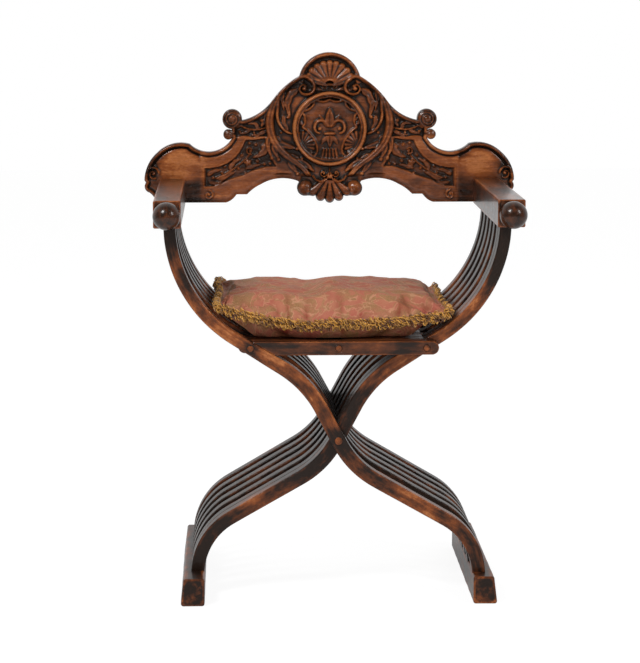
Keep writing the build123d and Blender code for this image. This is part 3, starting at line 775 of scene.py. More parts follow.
class Relief:
    """The right half of a carved panel: heights in millimetres over a fine grid of points."""

    def __init__(self, outline, pitch):
        low, high = outline.min(0), outline.max(0)
        across = np.arange(math.ceil(high[0] / pitch) + 1) * pitch
        rise = low[1] + np.arange(math.ceil((high[1] - low[1]) / pitch) + 1) * pitch
        self.across, self.rise = np.meshgrid(across, rise)
        self.outline = outline
        self.within = self.inside(outline)
        self.to_edge = self.near(closed(outline))[0]
        self.height = np.zeros_like(self.across)
        self.paint = np.zeros_like(self.across)

    def gap_from(self, x, z):
        """Distance from each point to a place."""
        return np.hypot(self.across - x, self.rise - z)

    def inside(self, outline):
        """True at the points inside a closed outline."""
        held = np.zeros(self.across.shape, bool)
        for (x, z), (next_x, next_z) in zip(outline, np.roll(outline, -1, 0)):
            if z != next_z:
                crossing = (z > self.rise) != (next_z > self.rise)
                held ^= crossing & (self.across < (next_x - x) * (self.rise - z) / (next_z - z) + x)
        return held

    def near(self, line):
        """Distance from each point to a line, how far along it that is, 0 to 1, and the side."""
        travel = travelled(line)
        distance = np.full(self.across.shape, 1e9)
        share = np.zeros_like(distance)
        side = np.zeros_like(distance)
        for start, end, before in zip(line, line[1:], travel):
            length = np.linalg.norm(end - start)
            if length == 0:
                continue
            ahead = (end - start) / length
            dx, dz = self.across - start[0], self.rise - start[1]
            along = np.clip(dx * ahead[0] + dz * ahead[1], 0, length)
            gap = np.hypot(dx - ahead[0] * along, dz - ahead[1] * along)
            closer = gap < distance
            distance = np.where(closer, gap, distance)
            share = np.where(closer, (before + along) / travel[-1], share)
            side = np.where(closer, np.sign(ahead[0] * dz - ahead[1] * dx), side)
        return distance, share, side

    def lower_to(self, shape, level):
        """Cuts the ground down to a level where shape is 1."""
        self.height = self.height * (1 - shape) + level * shape

    def sink(self, outline, level):
        """Cuts the ground inside an outline down to a level, with a short slope at its edge."""
        slope = 1.6
        line = closed(outline)
        self.lower_to(np.where(self.inside(line[:-1]), unit(self.near(line)[0] / slope), 0), level)

    def raise_to(self, shape, level, ground, bow=0.5):
        """Raises a rounded form: shape is 1 along its crown and 0 at its foot."""
        top = ground + (level - ground) * unit(shape) ** bow
        self.height = np.where(shape > 0, np.maximum(self.height, top), self.height)

    def rib(self, line, widths, level, ground, bow=0.5, groove=0.0):
        """A rounded rib along a line, its width changing along it, with a groove on top or none."""
        distance, share, _ = self.near(curve(line))
        half = np.interp(share, np.linspace(0, 1, len(widths)), widths) / 2
        reach = distance / half
        self.raise_to(1 - reach * reach, level, ground, bow)
        if groove:
            self.cut(strip(reach, 0, 0.32), groove * np.minimum(1, half / 2.5))

    def cut(self, shape, depth):
        self.height = self.height - depth * shape

    def vein(self, line, width, depth):
        """A fine V-cut along a line."""
        self.cut(unit(1 - self.near(curve(line))[0] / (width / 2)), depth)

    def leaf(self, line, width, level, ground, lobes=0):
        """A carved leaf: pointed at its far end, dished each side of a vein, its edge lobed."""
        distance, share, side = self.near(curve(line))
        shape = np.sin(np.pi * unit(share) ** 0.62) ** 0.75 + 0.12 * (1 - share)
        notch = 1 - 0.30 * wave(lobes * share - 0.12 * side) if lobes else 1
        reach = distance / (width / 2 * shape * notch + 0.01)
        body = unit(1 - reach**4)
        dish = 0.62 + 0.38 * unit(reach) ** 1.5
        top = ground + (level - ground) * body**0.45 * dish
        if lobes:
            top -= 0.5 * wave(lobes * share - 0.5 * reach) * body
        self.height = np.where(reach < 1, np.maximum(self.height, top), self.height)
        self.cut(unit(1 - distance / 0.9) * (reach < 0.9), 0.7)

    def leaves(self, leaves, ground):
        """Leaves on one ground, from rows of (line, width, level, lobes)."""
        for line, width, level, lobes in leaves:
            self.leaf(line, width, level, ground, lobes)

    def ball(self, x, z, radius, level, ground, bow=0.5, stretch=1.0):
        reach = np.hypot((self.across - x) / stretch, self.rise - z) / radius
        self.raise_to(1 - reach * reach, level, ground, bow)

    def balls(self, places, level, ground, bow=0.5):
        """Balls of one height, from rows of (x, z, radius)."""
        for x, z, radius in places:
            self.ball(x, z, radius, level, ground, bow)

    def shell(self, hub, reach, spread, flutes, levels, scallop, start, lean=0.0):
        """A fan of hollow flutes round a hub; levels are the ridges', the flutes', the ground's."""
        dx, dz = self.across - hub[0], self.rise - hub[1]
        angle = np.degrees(np.arctan2(dx, dz)) - lean
        angle = (angle + 180) % 360 - 180
        step = 2 * spread / flutes
        phase = angle / step + (0.5 if flutes % 2 == 0 else 0)
        middle = np.abs(np.cos(np.pi * phase))
        turn = np.radians(angle)
        edge = 1 / np.hypot(np.sin(turn) / reach[0], np.cos(turn) / reach[1])
        edge = edge * (1 - scallop * (1 - middle**0.8))
        share = np.hypot(dx, dz) / edge
        held = (np.abs(angle) < spread) & (share < 1) & (share > start)
        rounded = unit((1 - share) / 0.10) ** 0.5
        flare = unit((share - start) / 0.25)
        ridge, hollow, ground = levels
        valley = (1 - middle) ** 1.6
        top = ridge - (ridge - hollow) * valley * flare - 1.2 * (1 - share) * middle
        top = np.maximum(self.height, ground + (top - ground) * rounded)
        self.height = np.where(held, top, self.height)

    def spiral(self, centre, radius, turns, start, width, level, ground, hand=1):
        """A volute: a rib that winds in to a bead."""
        steps = np.linspace(0, 1, 40)
        angle = np.radians(start) + hand * 2 * np.pi * turns * steps
        reach = radius * (1 - 0.80 * steps)
        line = np.stack([centre[0] + reach * np.cos(angle), centre[1] + reach * np.sin(angle)], 1)
        distance, share, _ = self.near(line)
        half = width / 2 * (1 - 0.45 * share)
        self.raise_to(1 - (distance / half) ** 2, level, ground, 0.6)
        self.ball(centre[0], centre[1], width * 0.55, level + 0.6, ground)

    def stain_and_shading(self, shape, amount):
        """Marks where a place is rubbed or painted lighter (above 0), and dark or painted in shade
        (below 0).
        """
        self.paint = self.paint + amount * unit(shape)


def curve(points):
    """A smooth line through points, six steps from each to the next."""
    points = np.asarray(points, float)
    if len(points) < 3:
        return points
    ends = np.vstack([2 * points[0] - points[1], points, 2 * points[-1] - points[-2]])
    line = []
    for a, b, c, d in zip(ends, ends[1:], ends[2:], ends[3:]):
        for t in np.linspace(0, 1, 6, endpoint=False):
            bend = 2 * a - 5 * b + 4 * c - d
            swing = 3 * b - a - 3 * c + d
            line.append(b + 0.5 * t * ((c - a) + t * (bend + t * swing)))
    line.append(points[-1])
    return np.array(line)


def softened(field, passes):
    """Each point averaged with its neighbours, a few times."""
    for _ in range(passes):
        wide = np.pad(field, 1, mode="edge")
        beside = wide[:-2, 1:-1] + wide[2:, 1:-1] + wide[1:-1, :-2] + wide[1:-1, 2:]
        field = (beside + 2 * field) / 6
    return field


_, board_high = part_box("back_board")
board_front = arm_high.y + 0.0003
board = Relief(face_loops("back_board", board_high.y)[0] * 1000, pitch=1.25)

# the sunk grounds: their outlines, and how far below the board's face they lie
middle_level = -2.5
leafy_level = -3.8
panel_level = -4.0
panel = [
    (122, 796), (140, 793), (160, 792), (165, 780), (172, 768), (182, 757), (195, 748), (210, 742),
    (225, 739.5), (238, 739), (238, 703), (220, 704.5), (205, 709), (195, 715), (180, 720),
    (165, 724.5), (150, 732), (135, 737), (120, 741), (100, 741), (108, 752), (115, 767),
    (120, 782),
]
leafy_ground = [
    (60, 903), (77, 894), (90, 879), (99, 860), (106, 848), (120, 838), (140, 829), (165, 820),
    (180, 812), (178, 797), (163, 800), (148, 797.5), (123, 798.5), (116, 800), (114, 826),
    (108, 850), (98, 872), (84, 890),
]
middle_ground = [
    (0, 886), (40, 884), (60, 902), (90, 887), (104, 869), (112, 850), (115, 830), (113, 812),
    (108, 795), (99, 779), (88, 766), (74, 755), (60, 745), (49, 735), (41, 725), (34, 700),
    (0, 690),
]
board.sink(middle_ground, middle_level)
board.sink(leafy_ground, leafy_level)
board.sink(panel, panel_level)

# the rim along the edge, and the double line along the lower edge
edge_gap = board.to_edge
upper = (board.rise > 727) | (board.across > 325)
lower = (board.rise < 760) & (board.across > 62) & (board.across < 326)
board.raise_to(strip(edge_gap, 3.2, 3.4) * upper, 3.6, 0.0, 0.6)
board.cut(strip(edge_gap, 8.2, 1.5) * upper, 1.6)
board.cut(strip(edge_gap, 4.6, 0.9) * lower, 0.9)
board.cut(strip(edge_gap, 7.4, 0.7) * lower, 0.6)

# the crest: a hollow with a fluted shell, over a smooth leaf
crest_level = -4.5
crest = board.gap_from(0, 898)
board.lower_to(unit((51.5 - crest) / 4) * unit((board.rise - 886) / 8), crest_level)
board.shell((0, 896), (52, 47), 76, 9, (3.4, 0.4, crest_level), scallop=0.05, start=0.16)
board.rib([(50, 917), (40, 908), (26, 900), (12, 896.5), (0, 896)], (9, 10, 8, 6), 2.2, -3.0)
board.spiral((9, 893.5), 6, 1.2, 90, 2.8, 3.0, middle_level, -1)

# the shoulder's volute and the great double C scroll
volute = [
    (57, 911), (45, 911.5), (35, 905), (29.5, 896), (30, 887), (36, 880), (45, 878), (53, 880.5),
    (57, 887), (55.5, 893), (50, 896), (45, 893.5),
]
board.rib(volute, (9, 8.5, 7.5, 6.5, 5, 4.5), 6.2, -3.5, 0.55)
board.ball(48.5, 889, 5.6, 6.4, -3.5, 0.6)
great_scroll = [
    (57, 911), (77, 901), (92, 887), (103, 869), (110, 850), (114, 830), (113, 813), (108, 796),
    (99.5, 781), (88, 768), (74, 756.5), (60, 747), (49, 737), (41, 727), (36, 719),
]
inner_scroll = [
    (92, 887), (97, 868), (99, 850), (99.5, 838), (96.5, 826), (90, 815), (82, 807.5), (73, 804),
]
board.rib(great_scroll, (9, 14, 17, 18, 18, 16, 13, 9), 6.6, -3.0, 0.6, groove=2.2)
board.rib(inner_scroll, (6, 8, 7, 5), 4.4, middle_level, 0.6)
board.leaves((
    ([(66, 754), (45, 745), (29, 731)], 12, 4.4, 0),
    ([(57, 744), (43, 731), (34, 716)], 9, 4.4, 0),
    ([(78, 752), (70, 741), (61, 728)], 10, 4.4, 0),
    ([(96, 786), (80, 780), (62, 776)], 11, 4.4, 0),
    ([(104, 794), (105, 776), (97, 756)], 11, 4.4, 0),
    ([(112, 806), (117, 780), (110, 758)], 9, 4.4, 0),
), middle_level)
scroll_buds = (
    (97, 755, 4.6), (61, 728, 4.2), (35, 717, 4.0), (62, 775.5, 4.4), (110, 757, 3.6),
)
board.balls(scroll_buds, 4.8, middle_level, 0.6)
board.leaf([(113, 850), (121, 833), (131, 815)], 12, 3.2, leafy_level, lobes=2)

# acanthus beside the medallion
board.leaves((
    ([(60, 889), (76, 874), (80, 855), (74, 832)], 15, 3.6, 3),
    ([(88, 884), (90, 866), (85, 846)], 8, 3.2, 2),
    ([(88, 838), (86, 822), (76, 806)], 9, 2.6, 2),
    ([(101, 800), (94, 790), (80, 783)], 8, 2.8, 2),
    ([(84, 764), (70, 762), (57, 757)], 8, 2.4, 0),
    ([(38, 884), (24, 889), (12, 884)], 7, 2.6, 0),
), middle_level)
acanthus_buds = ((80, 865, 2.6), (79, 835, 3.6), (92, 806, 2.6), (66, 790, 2.4), (52, 757, 2.6))
board.balls(acanthus_buds, 2.6, middle_level)

# leaves and buds between the scroll and the shoulder
board.spiral((104, 846), 7, 1.1, 200, 3.2, 2.6, leafy_level)
board.rib([(118, 816), (134, 812), (150, 812), (168, 818)], (3, 4, 4, 2.5), 1.6, leafy_level)
board.leaves((
    ([(120, 811), (133, 803), (150, 801)], 8, 2.2, 2),
    ([(134, 812), (143, 824), (156, 822)], 8, 2.0, 2),
    ([(150, 812), (161, 806), (172, 803)], 7, 2.0, 0),
    ([(103, 868), (112, 858), (118, 846)], 7, 2.2, 0),
), leafy_level)
board.ball(127, 829, 4.2, 2.4, leafy_level, stretch=1.5)
shoulder_buds = ((161, 815, 2.8), (143, 806, 2.8), (118, 822, 2.8), (170, 808, 2.8))
board.balls(shoulder_buds, 1.4, leafy_level)

# the two scrolled balls on the shoulder
scroll_x, scroll_z = 184.5, 831.5
from_scroll = board.gap_from(scroll_x, scroll_z)
board.raise_to(strip(from_scroll, 0, 19.2), 8.0, panel_level, 0.62)
turning = np.arctan2(board.rise - scroll_z, board.across - scroll_x)
winding = (from_scroll / 5.6 - turning / (2 * np.pi)) % 1
on_ball = unit((17 - from_scroll) / 3) * unit((from_scroll - 4) / 2)
board.cut(strip(winding, 0.5, 0.26) * on_ball, 2.2)
board.ball(scroll_x, scroll_z, 5, 7.6, 3.0)
board.ball(192, 802.5, 10, 5.2, panel_level, 0.6)
board.vein([(186, 808), (192, 803), (196, 797)], 2.0, 1.0)

# the spray in the long sunk panel, with its flower, buds and a row of beads at its end
stem = [(215, 719), (195, 729), (177, 741), (160, 755), (150, 768)]
board.rib(stem, (3.5, 3.5, 3, 3), 0.8, panel_level)
board.leaves((
    ([(213, 716), (195, 724), (178, 733)], 10, 1.2, 2),
    ([(120, 787), (127, 768), (146, 758)], 15, 2.0, 3),
), panel_level)
board.spiral((151, 772), 7.5, 1.2, 250, 3.4, 1.8, panel_level)
board.leaves((
    ([(190, 736), (183, 748), (168, 757)], 9, 1.0, 2),
    ([(232, 724), (222, 732), (205, 736)], 9, 1.0, 2),
    ([(228, 711), (214, 710), (200, 716)], 6, 0.6, 0),
    ([(160, 738), (148, 741), (128, 747)], 8, 1.0, 2),
), panel_level)
flower_x, flower_z = 155, 749
petal = np.abs(np.cos(2.5 * np.arctan2(board.rise - flower_z, board.across - flower_x)))
board.raise_to(strip(board.gap_from(flower_x, flower_z), 0, 4.5 + 4 * petal), 1.6, panel_level)
board.ball(flower_x, flower_z, 2.4, 2.6, 0)
spray_buds = (
    (137, 752, 4), (166, 763, 3), (173, 738, 3), (160, 729, 2.6), (181, 752, 3), (140, 783, 3.4),
    (152, 786, 3), (113, 747, 3), (124, 746, 3), (204, 729, 2.6), (199, 741, 2.4), (221, 720, 2.8),
)
board.balls(spray_buds, 0.6, panel_level)
board.balls([(236.6, z, 1.7) for z in np.arange(706.5, 738, 3.6)], 0.4, panel_level)
beside_beads = (board.rise < 745) * (board.rise > 700)
board.cut(unit(1 - np.abs(board.across - 241) / 0.8) * beside_beads, 0.9)

# the plain bands are rounded off towards their edges, and the lobes are dished
in_panel = board.inside(np.array(panel))
band_edge = np.where(in_panel, 0, unit(1 - board.near(closed(panel))[0] / 5) ** 2)
board.height = board.height + 1.1 * band_edge * (board.height > -0.6) * (board.across < 243)
on_lobe = (board.across > 246) * unit((board.rise - 727) / 10)
dished = unit(1 - (edge_gap - 8) / 16) ** 1.5 * on_lobe
board.cut(dished * unit((edge_gap - 6) / 2), 2.6)

# the lobe: a dark line inside its rim, a volute at its end and an ear below
board.cut(strip(edge_gap, 9.6, 1.4) * (board.across > 184) * (board.rise > 745), 1.2)
board.spiral((334.5, 728), 13.5, 1.4, 35, 4.8, 4.6, 0.0)
board.spiral((230, 688), 9, 1.2, 100, 3.6, 2.6, 0.0)

# the pendant: a fluted shell between two balls, under small scrolls
pendant_level = -3.0
pendant_height = unit((board.rise - 655) / 5) * unit((728 - board.rise) / 6)
board.lower_to(pendant_height * unit((58 - board.across) / 6), pendant_level)
board.shell((0, 727), (58, 54.6), 55, 5, (4.6, 0.6, pendant_level), 0.16, 0.2, lean=180)
board.ball(47, 700.5, 15.5, 6.0, -3.5, 0.6)
board.ball(50, 704, 5.5, 7.4, 3.5)
board.ball(42, 696, 4.5, 7.0, 3.5)
board.rib([(2, 728), (6, 718), (15, 713.5), (25, 716), (31, 723)], (4, 4.4, 4.4, 3.5), 6.0, -2.0)
board.spiral((12, 728), 6.5, 1.1, 200, 3.0, 5.4, -2.0)
board.ball(0, 722, 5, 6.5, -2)

# the medallion: a bold ring, a stepped cartouche, dished corners and a fleur-de-lis
around = board.gap_from(0, 813)
board.height = np.where(around < 70, panel_level, board.height)
board.raise_to(strip(around, 66.6, 4.6), 7.6, -3.0)
board.raise_to(strip(around, 60.6, 2.6), 3.4, panel_level, 0.6)
cartouche = [
    (0, 868), (12, 864), (27, 866), (31, 858), (39, 850), (51, 845), (48, 838), (46.5, 830),
    (47, 823), (50.5, 816), (44, 811), (36, 802), (29, 792), (24.5, 781), (23.5, 772), (26, 765),
    (30, 760.5), (16, 757), (0, 755),
]
outline_gap = board.near(curve(cartouche))[0]
board.shell((62, 842), (25, 25), 80, 7, (0.2, -3.2, panel_level), 0.12, 0.2, lean=-110)
board.shell((54, 782), (28, 28), 78, 8, (0.8, -3.0, panel_level), 0.12, 0.15, lean=-58)
cartouche_level = -1.6
cushioned = cartouche_level + 1.2 * unit(1 - outline_gap / 9)
board.height = np.where(board.inside(np.array(cartouche)), cushioned, board.height)
board.raise_to(strip(outline_gap, 0, 2.6), 2.2, -3.0, 0.6)
for x in (0, 7.5, 14.5):
    board.rib([(x * 0.75, 775), (x, 756)], (4.5, 6.4, 6.0), 1.6, -3.4)
board.leaf([(0, 816), (0, 833), (0, 853)], 17, 4.4, cartouche_level)
side_petal = [(3, 818), (9, 826), (17, 829), (25, 825), (28.5, 816), (26, 808), (20, 804.5)]
board.rib(side_petal, (5, 6.5, 6, 4.5), 3.6, cartouche_level, groove=0.6)
board.ball(19, 813, 3.6, 3.4, cartouche_level)
board.leaf([(5, 817), (12, 829), (20, 839)], 6, 2.4, cartouche_level)
board.rib([(0, 804), (5, 804), (8.5, 803.5)], (6.5, 6.5, 5), 3.8, cartouche_level)
board.leaf([(0, 801), (0, 791), (0, 778)], 12, 3.4, cartouche_level)
board.leaf([(3, 799), (11, 791), (15, 783)], 8, 2.8, cartouche_level)

# flat ground where the arm's end butts against the board, and inwards as the board lifts off
pad_inner, pad_outer, pad_top = 243, 329.5, 726.5
pad = (board.across > pad_inner) & (board.across < pad_outer) & (board.rise < pad_top)
board.height = np.where(pad, np.minimum(board.height, 0), board.height)
beside_pad = (board.across > 241) & (board.across < 331) & (board.rise < 732) & ~pad
allowed = 3.6 * np.maximum(unit((board.rise - pad_top) / 3), board.across > pad_outer)
board.height = np.where(beside_pad, np.minimum(board.height, allowed), board.height)

# where hands and cloths have rubbed the carving (above 0), and where it has stayed dark; also
# painted shade round the lobes and beside the arms, and a painted highlight on the ring
carved = board.height
lobe_gap = np.hypot((board.across - 282) / 44, (board.rise - 752) / 40)
on_lobe = board.across > 245
board.stain_and_shading(unit(1.25 - lobe_gap) * (board.across > 232), 0.62)
board.stain_and_shading((crest < 47) * (board.rise > 902), 0.12)
# the ring is made paler: rubbed, and partly a painted highlight
board.stain_and_shading(unit((around - 62) / 3) * unit((72 - around) / 3), 0.50)
for x, z in ((56, 862), (62, 842), (30, 742)):
    board.stain_and_shading(unit(1.3 - board.gap_from(x, z) / 14), 0.20)
board.stain_and_shading(unit((62 - around) / 3), 0.04)
board.stain_and_shading(unit(1 - board.near(curve(great_scroll))[0] / 9), 0.06)
plain_band = (board.across > 100) & (board.across < 245) & (carved > -1.2) & (board.rise < 800)
board.stain_and_shading(plain_band, 0.20)
board.stain_and_shading((carved < -3.2) & (around > 72), -0.06)
board.stain_and_shading(in_panel, -0.04)
board.stain_and_shading(unit(1 - (edge_gap - 3) / 4) * upper * on_lobe, 0.10)
# painted shade: the lobes are darkened inside their rims
board.stain_and_shading(unit(1 - (edge_gap - 8) / 14) * on_lobe * (board.rise > 730), -0.40)
# painted shade: darkened low down where the board meets the inner end of the arm
board.stain_and_shading(unit(1 - np.abs(board.across - 252) / 26) * unit((760 - board.rise) / 40), -0.12)
board.stain_and_shading(unit(1 - edge_gap / 9) * lower, -0.20)

# wax and dust lie in the hollows, and the crowns are bare
board.height = softened(carved, 1) * np.where(carved > 0, 1.25, 1.1)
hollows = softened(board.height, 14) - board.height
wide_hollows = softened(board.height, 60) - board.height
board_grime = np.clip(0.27 * hollows + 0.05 * wide_hollows - 0.05, 0, 0.8)
board_grime *= np.where(in_panel, 0.35, 1.0)
board_wear_and_shading = np.clip(-0.13 * hollows, -0.24, 0.32) * np.where(in_panel, 0.5, 1.0)
board_wear_and_shading += softened(board.paint, 6)

# the slots that drop over the arms' pins: round above, flared towards the middle below
pin_low, pin_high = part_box("right_board_pin")
pin_x, pin_z = (pin_low.x + pin_high.x) * 500, (pin_low.z + pin_high.z) * 500
slot_radius = 6.4
slot = board.gap_from(pin_x, pin_z) < slot_radius
flare = math.tan(math.radians(29)) * np.clip(pin_z + 3.1 - board.rise, 0, None)
slot |= (
    (board.rise < pin_z)
    & (board.across < pin_x + slot_radius)
    & (board.across > pin_x - 5.6 - flare)
)
board.height = np.where(slot, -15.0, board.height)
board_grime = np.where(slot, 0.7, board_grime)


def nearest_on(line, point):
    """The place on a line of points that is nearest to a point."""
    starts, ahead = line[:-1], np.diff(line, axis=0)
    share = unit(np.sum((point - starts) * ahead, 1) / np.maximum(np.sum(ahead * ahead, 1), 1e-9))
    spots = starts + ahead * share[:, None]
    return spots[np.linalg.norm(spots - point, axis=1).argmin()]


def carve(relief, front, back, grime, wear_and_shading, material):
    """Turns the half relief and its mirror image into one solid board with a flat back."""
    filled = relief.within
    cell = filled[:-1, :-1].astype(int) + filled[1:, :-1] + filled[:-1, 1:] + filled[1:, 1:] >= 3
    used = np.zeros(filled.shape, int)        # how many cells of the board meet at each point
    for row in (0, 1):
        for column in (0, 1):
            used[row : row + cell.shape[0], column : column + cell.shape[1]] += cell
    on_rim = (used > 0) & (used < 4)
    on_rim[:, 0] &= used[:, 0] < 2
    across, rise, height = relief.across.copy(), relief.rise.copy(), relief.height.copy()
    line = closed(relief.outline)
    for row, column in zip(*np.nonzero(on_rim)):
        nearest = nearest_on(line, np.array([across[row, column], rise[row, column]]))
        across[row, column], rise[row, column] = nearest if column else (0, nearest[1])
        height[row, column] -= 0.9
    numbers, points, dirt, rub_and_shading = {}, [], [], []
    for hand in (1, -1):
        for row, column in zip(*np.nonzero(used)):
            if hand < 0 and column == 0:
                numbers[hand, row, column] = numbers[1, row, column]
                continue
            numbers[hand, row, column] = len(points)
            x, z = hand * across[row, column] / 1000, rise[row, column] / 1000
            rough = 0.00012 * noise.noise(Vector((x * 160, z * 160, 3)))
            points.append((x, front - height[row, column] / 1000 + rough, z))
            dirt.append(grime[row, column])
            rub_and_shading.append(wear_and_shading[row, column])
    faces = []
    for hand in (1, -1):
        for row, column in zip(*np.nonzero(cell)):
            ring = [(row, column), (row, column + 1), (row + 1, column + 1), (row + 1, column)]
            face = [numbers[hand, r, c] for r, c in ring]
            faces.append(face if hand > 0 else face[::-1])
    steps = {(a, b) for face in faces for a, b in zip(face, face[1:] + face[:1])}
    ahead_of = {a: b for a, b in steps if (b, a) not in steps}
    start = min(ahead_of)
    loop, here = [start], ahead_of[start]
    while here != start:
        loop.append(here)
        here = ahead_of[here]
    edge_line = np.array([points[spot] for spot in loop])[:, [0, 2]]
    smooth_line = edge_line
    for _ in range(3):
        before, after = np.roll(smooth_line, 1, 0), np.roll(smooth_line, -1, 0)
        smooth_line = (before + 2 * smooth_line + after) / 4
    rings = [loop]
    for rear_gap, inset, bareness_and_shading in ((0.0015, 0.0, 0.0), (0.0004, 0.0005, 0.25), (0, 0.0015, 0.25)):
        rings.append(range(len(points), len(points) + len(loop)))
        for x, z in edge_line + drawn_in(smooth_line, inset) - smooth_line:
            points.append((x, back - rear_gap, z))
            dirt.append(0.15)
            rub_and_shading.append(bareness_and_shading)
    for ring, following in zip(rings, rings[1:]):
        for spot in range(len(loop)):
            after = (spot + 1) % len(loop)
            faces.append((ring[after], ring[spot], following[spot], following[after]))
    faces += infill([rings[-1]], points)
    carving = new_piece("carved_back_board", points, faces, material)
    lay_wood(carving, [(x, z, y) for x, y, z in points], rub_and_shading, dirt)
    carving.data.set_sharp_from_angle(angle=math.radians(50))
    return carving


board_walnut = walnut("board_walnut", rubbed=0.0, polish=0.95, coarse=0.8, mottling=0.6)
back_board = carve(board, board_front, board_high.y, board_grime, board_wear_and_shading, board_walnut)
fit(back_board, "board", "walnut_carved", "back_board")


# ---- Cushion ---------------------------------------------------------------------------------
# A loose feather cushion in faded salmon brocade with an olive-tan damask figure, sewn from two
# panels.  It lies in the dip of the seat: flat on the seat slats, spread against the leg slats at
# its sides, its front and back seams sagging in the middle.


cushion_low, cushion_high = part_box("cushion")
cushion_x = (cushion_low.x + cushion_high.x) / 2
cushion_y = (cushion_low.y + cushion_high.y) / 2
half_across = (cushion_high.x - cushion_low.x) / 2
half_deep = (cushion_high.y - cushion_low.y) / 2
seam_middle = cushion_low.z + 0.031
seam_corners = (cushion_low.z + 0.065, cushion_low.z + 0.053)      # left and right
crown_height = 0.066
bearing = 0.136               # half width that lies flat on the seat slats
leg_slope = math.tan(math.radians(38.7))      # of the leg slats beside the seat


def seam_height(u):
    """Height of the seam, across the cushion from -1 to 1."""
    corner = np.where(u < 0, *seam_corners)
    return seam_middle + (corner - seam_middle) * np.abs(u) ** 3


def support_height(x):
    """Top of the seat slats, and of the leg slats beside them."""
    return cushion_low.z + np.maximum(0, np.abs(x - cushion_x) - bearing) * leg_slope


def brocade_finish():
    """Silk brocade: a twill ground and a scrolling figure, faded where it is rubbed, with deep red
    painted shade in creases.
    """
    cloth = Finish("brocade")
    spot = cloth.field("cloth", "Vector")
    # fold: painted shade, from the puckers along the front seam and where the cushion sags low
    fold = cloth.field("fold")
    drifting = {"Vector": cloth.stretched(spot, 30, 30), "Scale": 1.0, "Detail": 3.0}
    drift = cloth.node("TexNoise", None, drifting, output=1)
    warped = cloth.stretched(drift, 0.030, 0.030, spot)
    bloom = cloth.cloud(cloth.stretched(warped, 29, 29, (1, 5, 2)), 2.0, 0.55, 1.4)
    cells = {"feature": "DISTANCE_TO_EDGE"}
    veins = cloth.node("TexVoronoi", cells, {"Vector": warped, "Scale": 95.0})
    scroll = cloth.node("TexVoronoi", cells, {"Vector": warped, "Scale": 34.0})
    patch = cloth.cloud(cloth.stretched(spot, 15, 15, (4, 2, 0)), 3.0, 0.6, 0.8)
    leaf = bloom.between(0.50, 0.53)
    edge = bloom.between(0.465, 0.495) * (1 - bloom.between(0.51, 0.54))
    sprig = (1 - scroll.between(0.03, 0.09)) * patch.between(0.42, 0.52)
    figure = (leaf * (0.55 + 0.45 * veins.between(0.02, 0.10))).most(sprig * 0.8).least(1)
    twill = {"wave_type": "BANDS", "bands_direction": "DIAGONAL"}
    thread = cloth.node("TexWave", twill, {"Vector": spot, "Scale": 620.0, "Distortion": 0.3})
    slub = cloth.cloud(cloth.stretched(spot, 700, 260), 3.0, 0.7)
    fade = patch.between(0.35, 0.65)
    ground = cloth.mix(fade, colour(164, 86, 70), colour(170, 106, 80))
    ground = cloth.mix(slub.between(0.3, 0.7) * 0.4, ground, colour(182, 120, 96))
    tan = cloth.mix(slub.between(0.3, 0.7), colour(126, 92, 56), colour(160, 124, 80))
    shade = cloth.mix(figure * (0.35 + 0.5 * fade), ground, tan)
    shade = cloth.mix(edge * 0.34, shade, colour(208, 160, 124))
    rubbed = cloth.cloud(cloth.stretched(spot, 9, 9, (1, 1, 1)), 3.0).between(0.45, 0.7)
    shade = cloth.mix(rubbed * 0.2, shade, colour(190, 138, 108))
    # painted shade: deep red mixed in where fold is high
    shade = cloth.mix(fold, shade, colour(122, 40, 26))
    cloth.relief(thread * 0.35 + figure * 0.8 + edge * 0.6 + slub * 0.3, 0.0004, 0.6)
    return cloth.settle(base_color=shade, roughness=0.66 - figure * 0.14, specular_ior_level=0.2)


def pillow():
    """Two panels sewn together round their edge, as a fine closed mesh."""
    across_count, deep_count = 96, 80
    steps_u = np.sin(np.linspace(-1, 1, across_count + 1) * math.pi / 2)
    steps_v = np.sin(np.linspace(-1, 1, deep_count + 1) * math.pi / 2)
    vertices, numbers, faces, spots = [], {}, [], []
    for panel in (1, -1):
        for i, u in enumerate(steps_u):
            for j, v in enumerate(steps_v):
                at_seam = i in (0, across_count) or j in (0, deep_count)
                if at_seam and panel < 0:
                    numbers[panel, i, j] = numbers[1, i, j]
                    continue
                drawn = 1 - 0.045 * (1 - v * v) * abs(u) ** 3 - 0.035 * (u * v) ** 4
                pulled = 1 - 0.05 * (1 - u * u) * abs(v) ** 3 - 0.035 * (u * v) ** 4
                x = cushion_x + half_across * u * drawn
                y = cushion_y + half_deep * v * pulled
                seam = seam_height(u)
                puff = 0 if at_seam else (1 - abs(u) ** 11) ** 0.5 * (1 - abs(v) ** 5) ** 0.5
                crown = cushion_low.z + crown_height - 0.004 * u**4
                under = min(seam, support_height(x) + 0.002)
                z = seam + ((crown if panel > 0 else under) - seam) * puff
                numbers[panel, i, j] = len(vertices)
                vertices.append((x, y, z))
                spots.append((u, v, 0 if at_seam else panel))
        for i in range(across_count):
            for j in range(deep_count):
                ring = ((i, j), (i + 1, j), (i + 1, j + 1), (i, j + 1))[::panel]
                faces.append([numbers[panel, *spot] for spot in ring])
    seam_line = [numbers[1, i, 0] for i in range(across_count)]
    seam_line += [numbers[1, across_count, j] for j in range(deep_count)]
    seam_line += [numbers[1, i, deep_count] for i in range(across_count, 0, -1)]
    seam_line += [numbers[1, 0, j] for j in range(deep_count, 0, -1)]
    return vertices, faces, np.array(spots), seam_line


vertices, faces, spots, seam_line = pillow()
side_gap, end_gap = ((1 - np.abs(spots[:, :2])) * (half_across, half_deep)).T
to_seam = np.minimum(side_gap, end_gap)


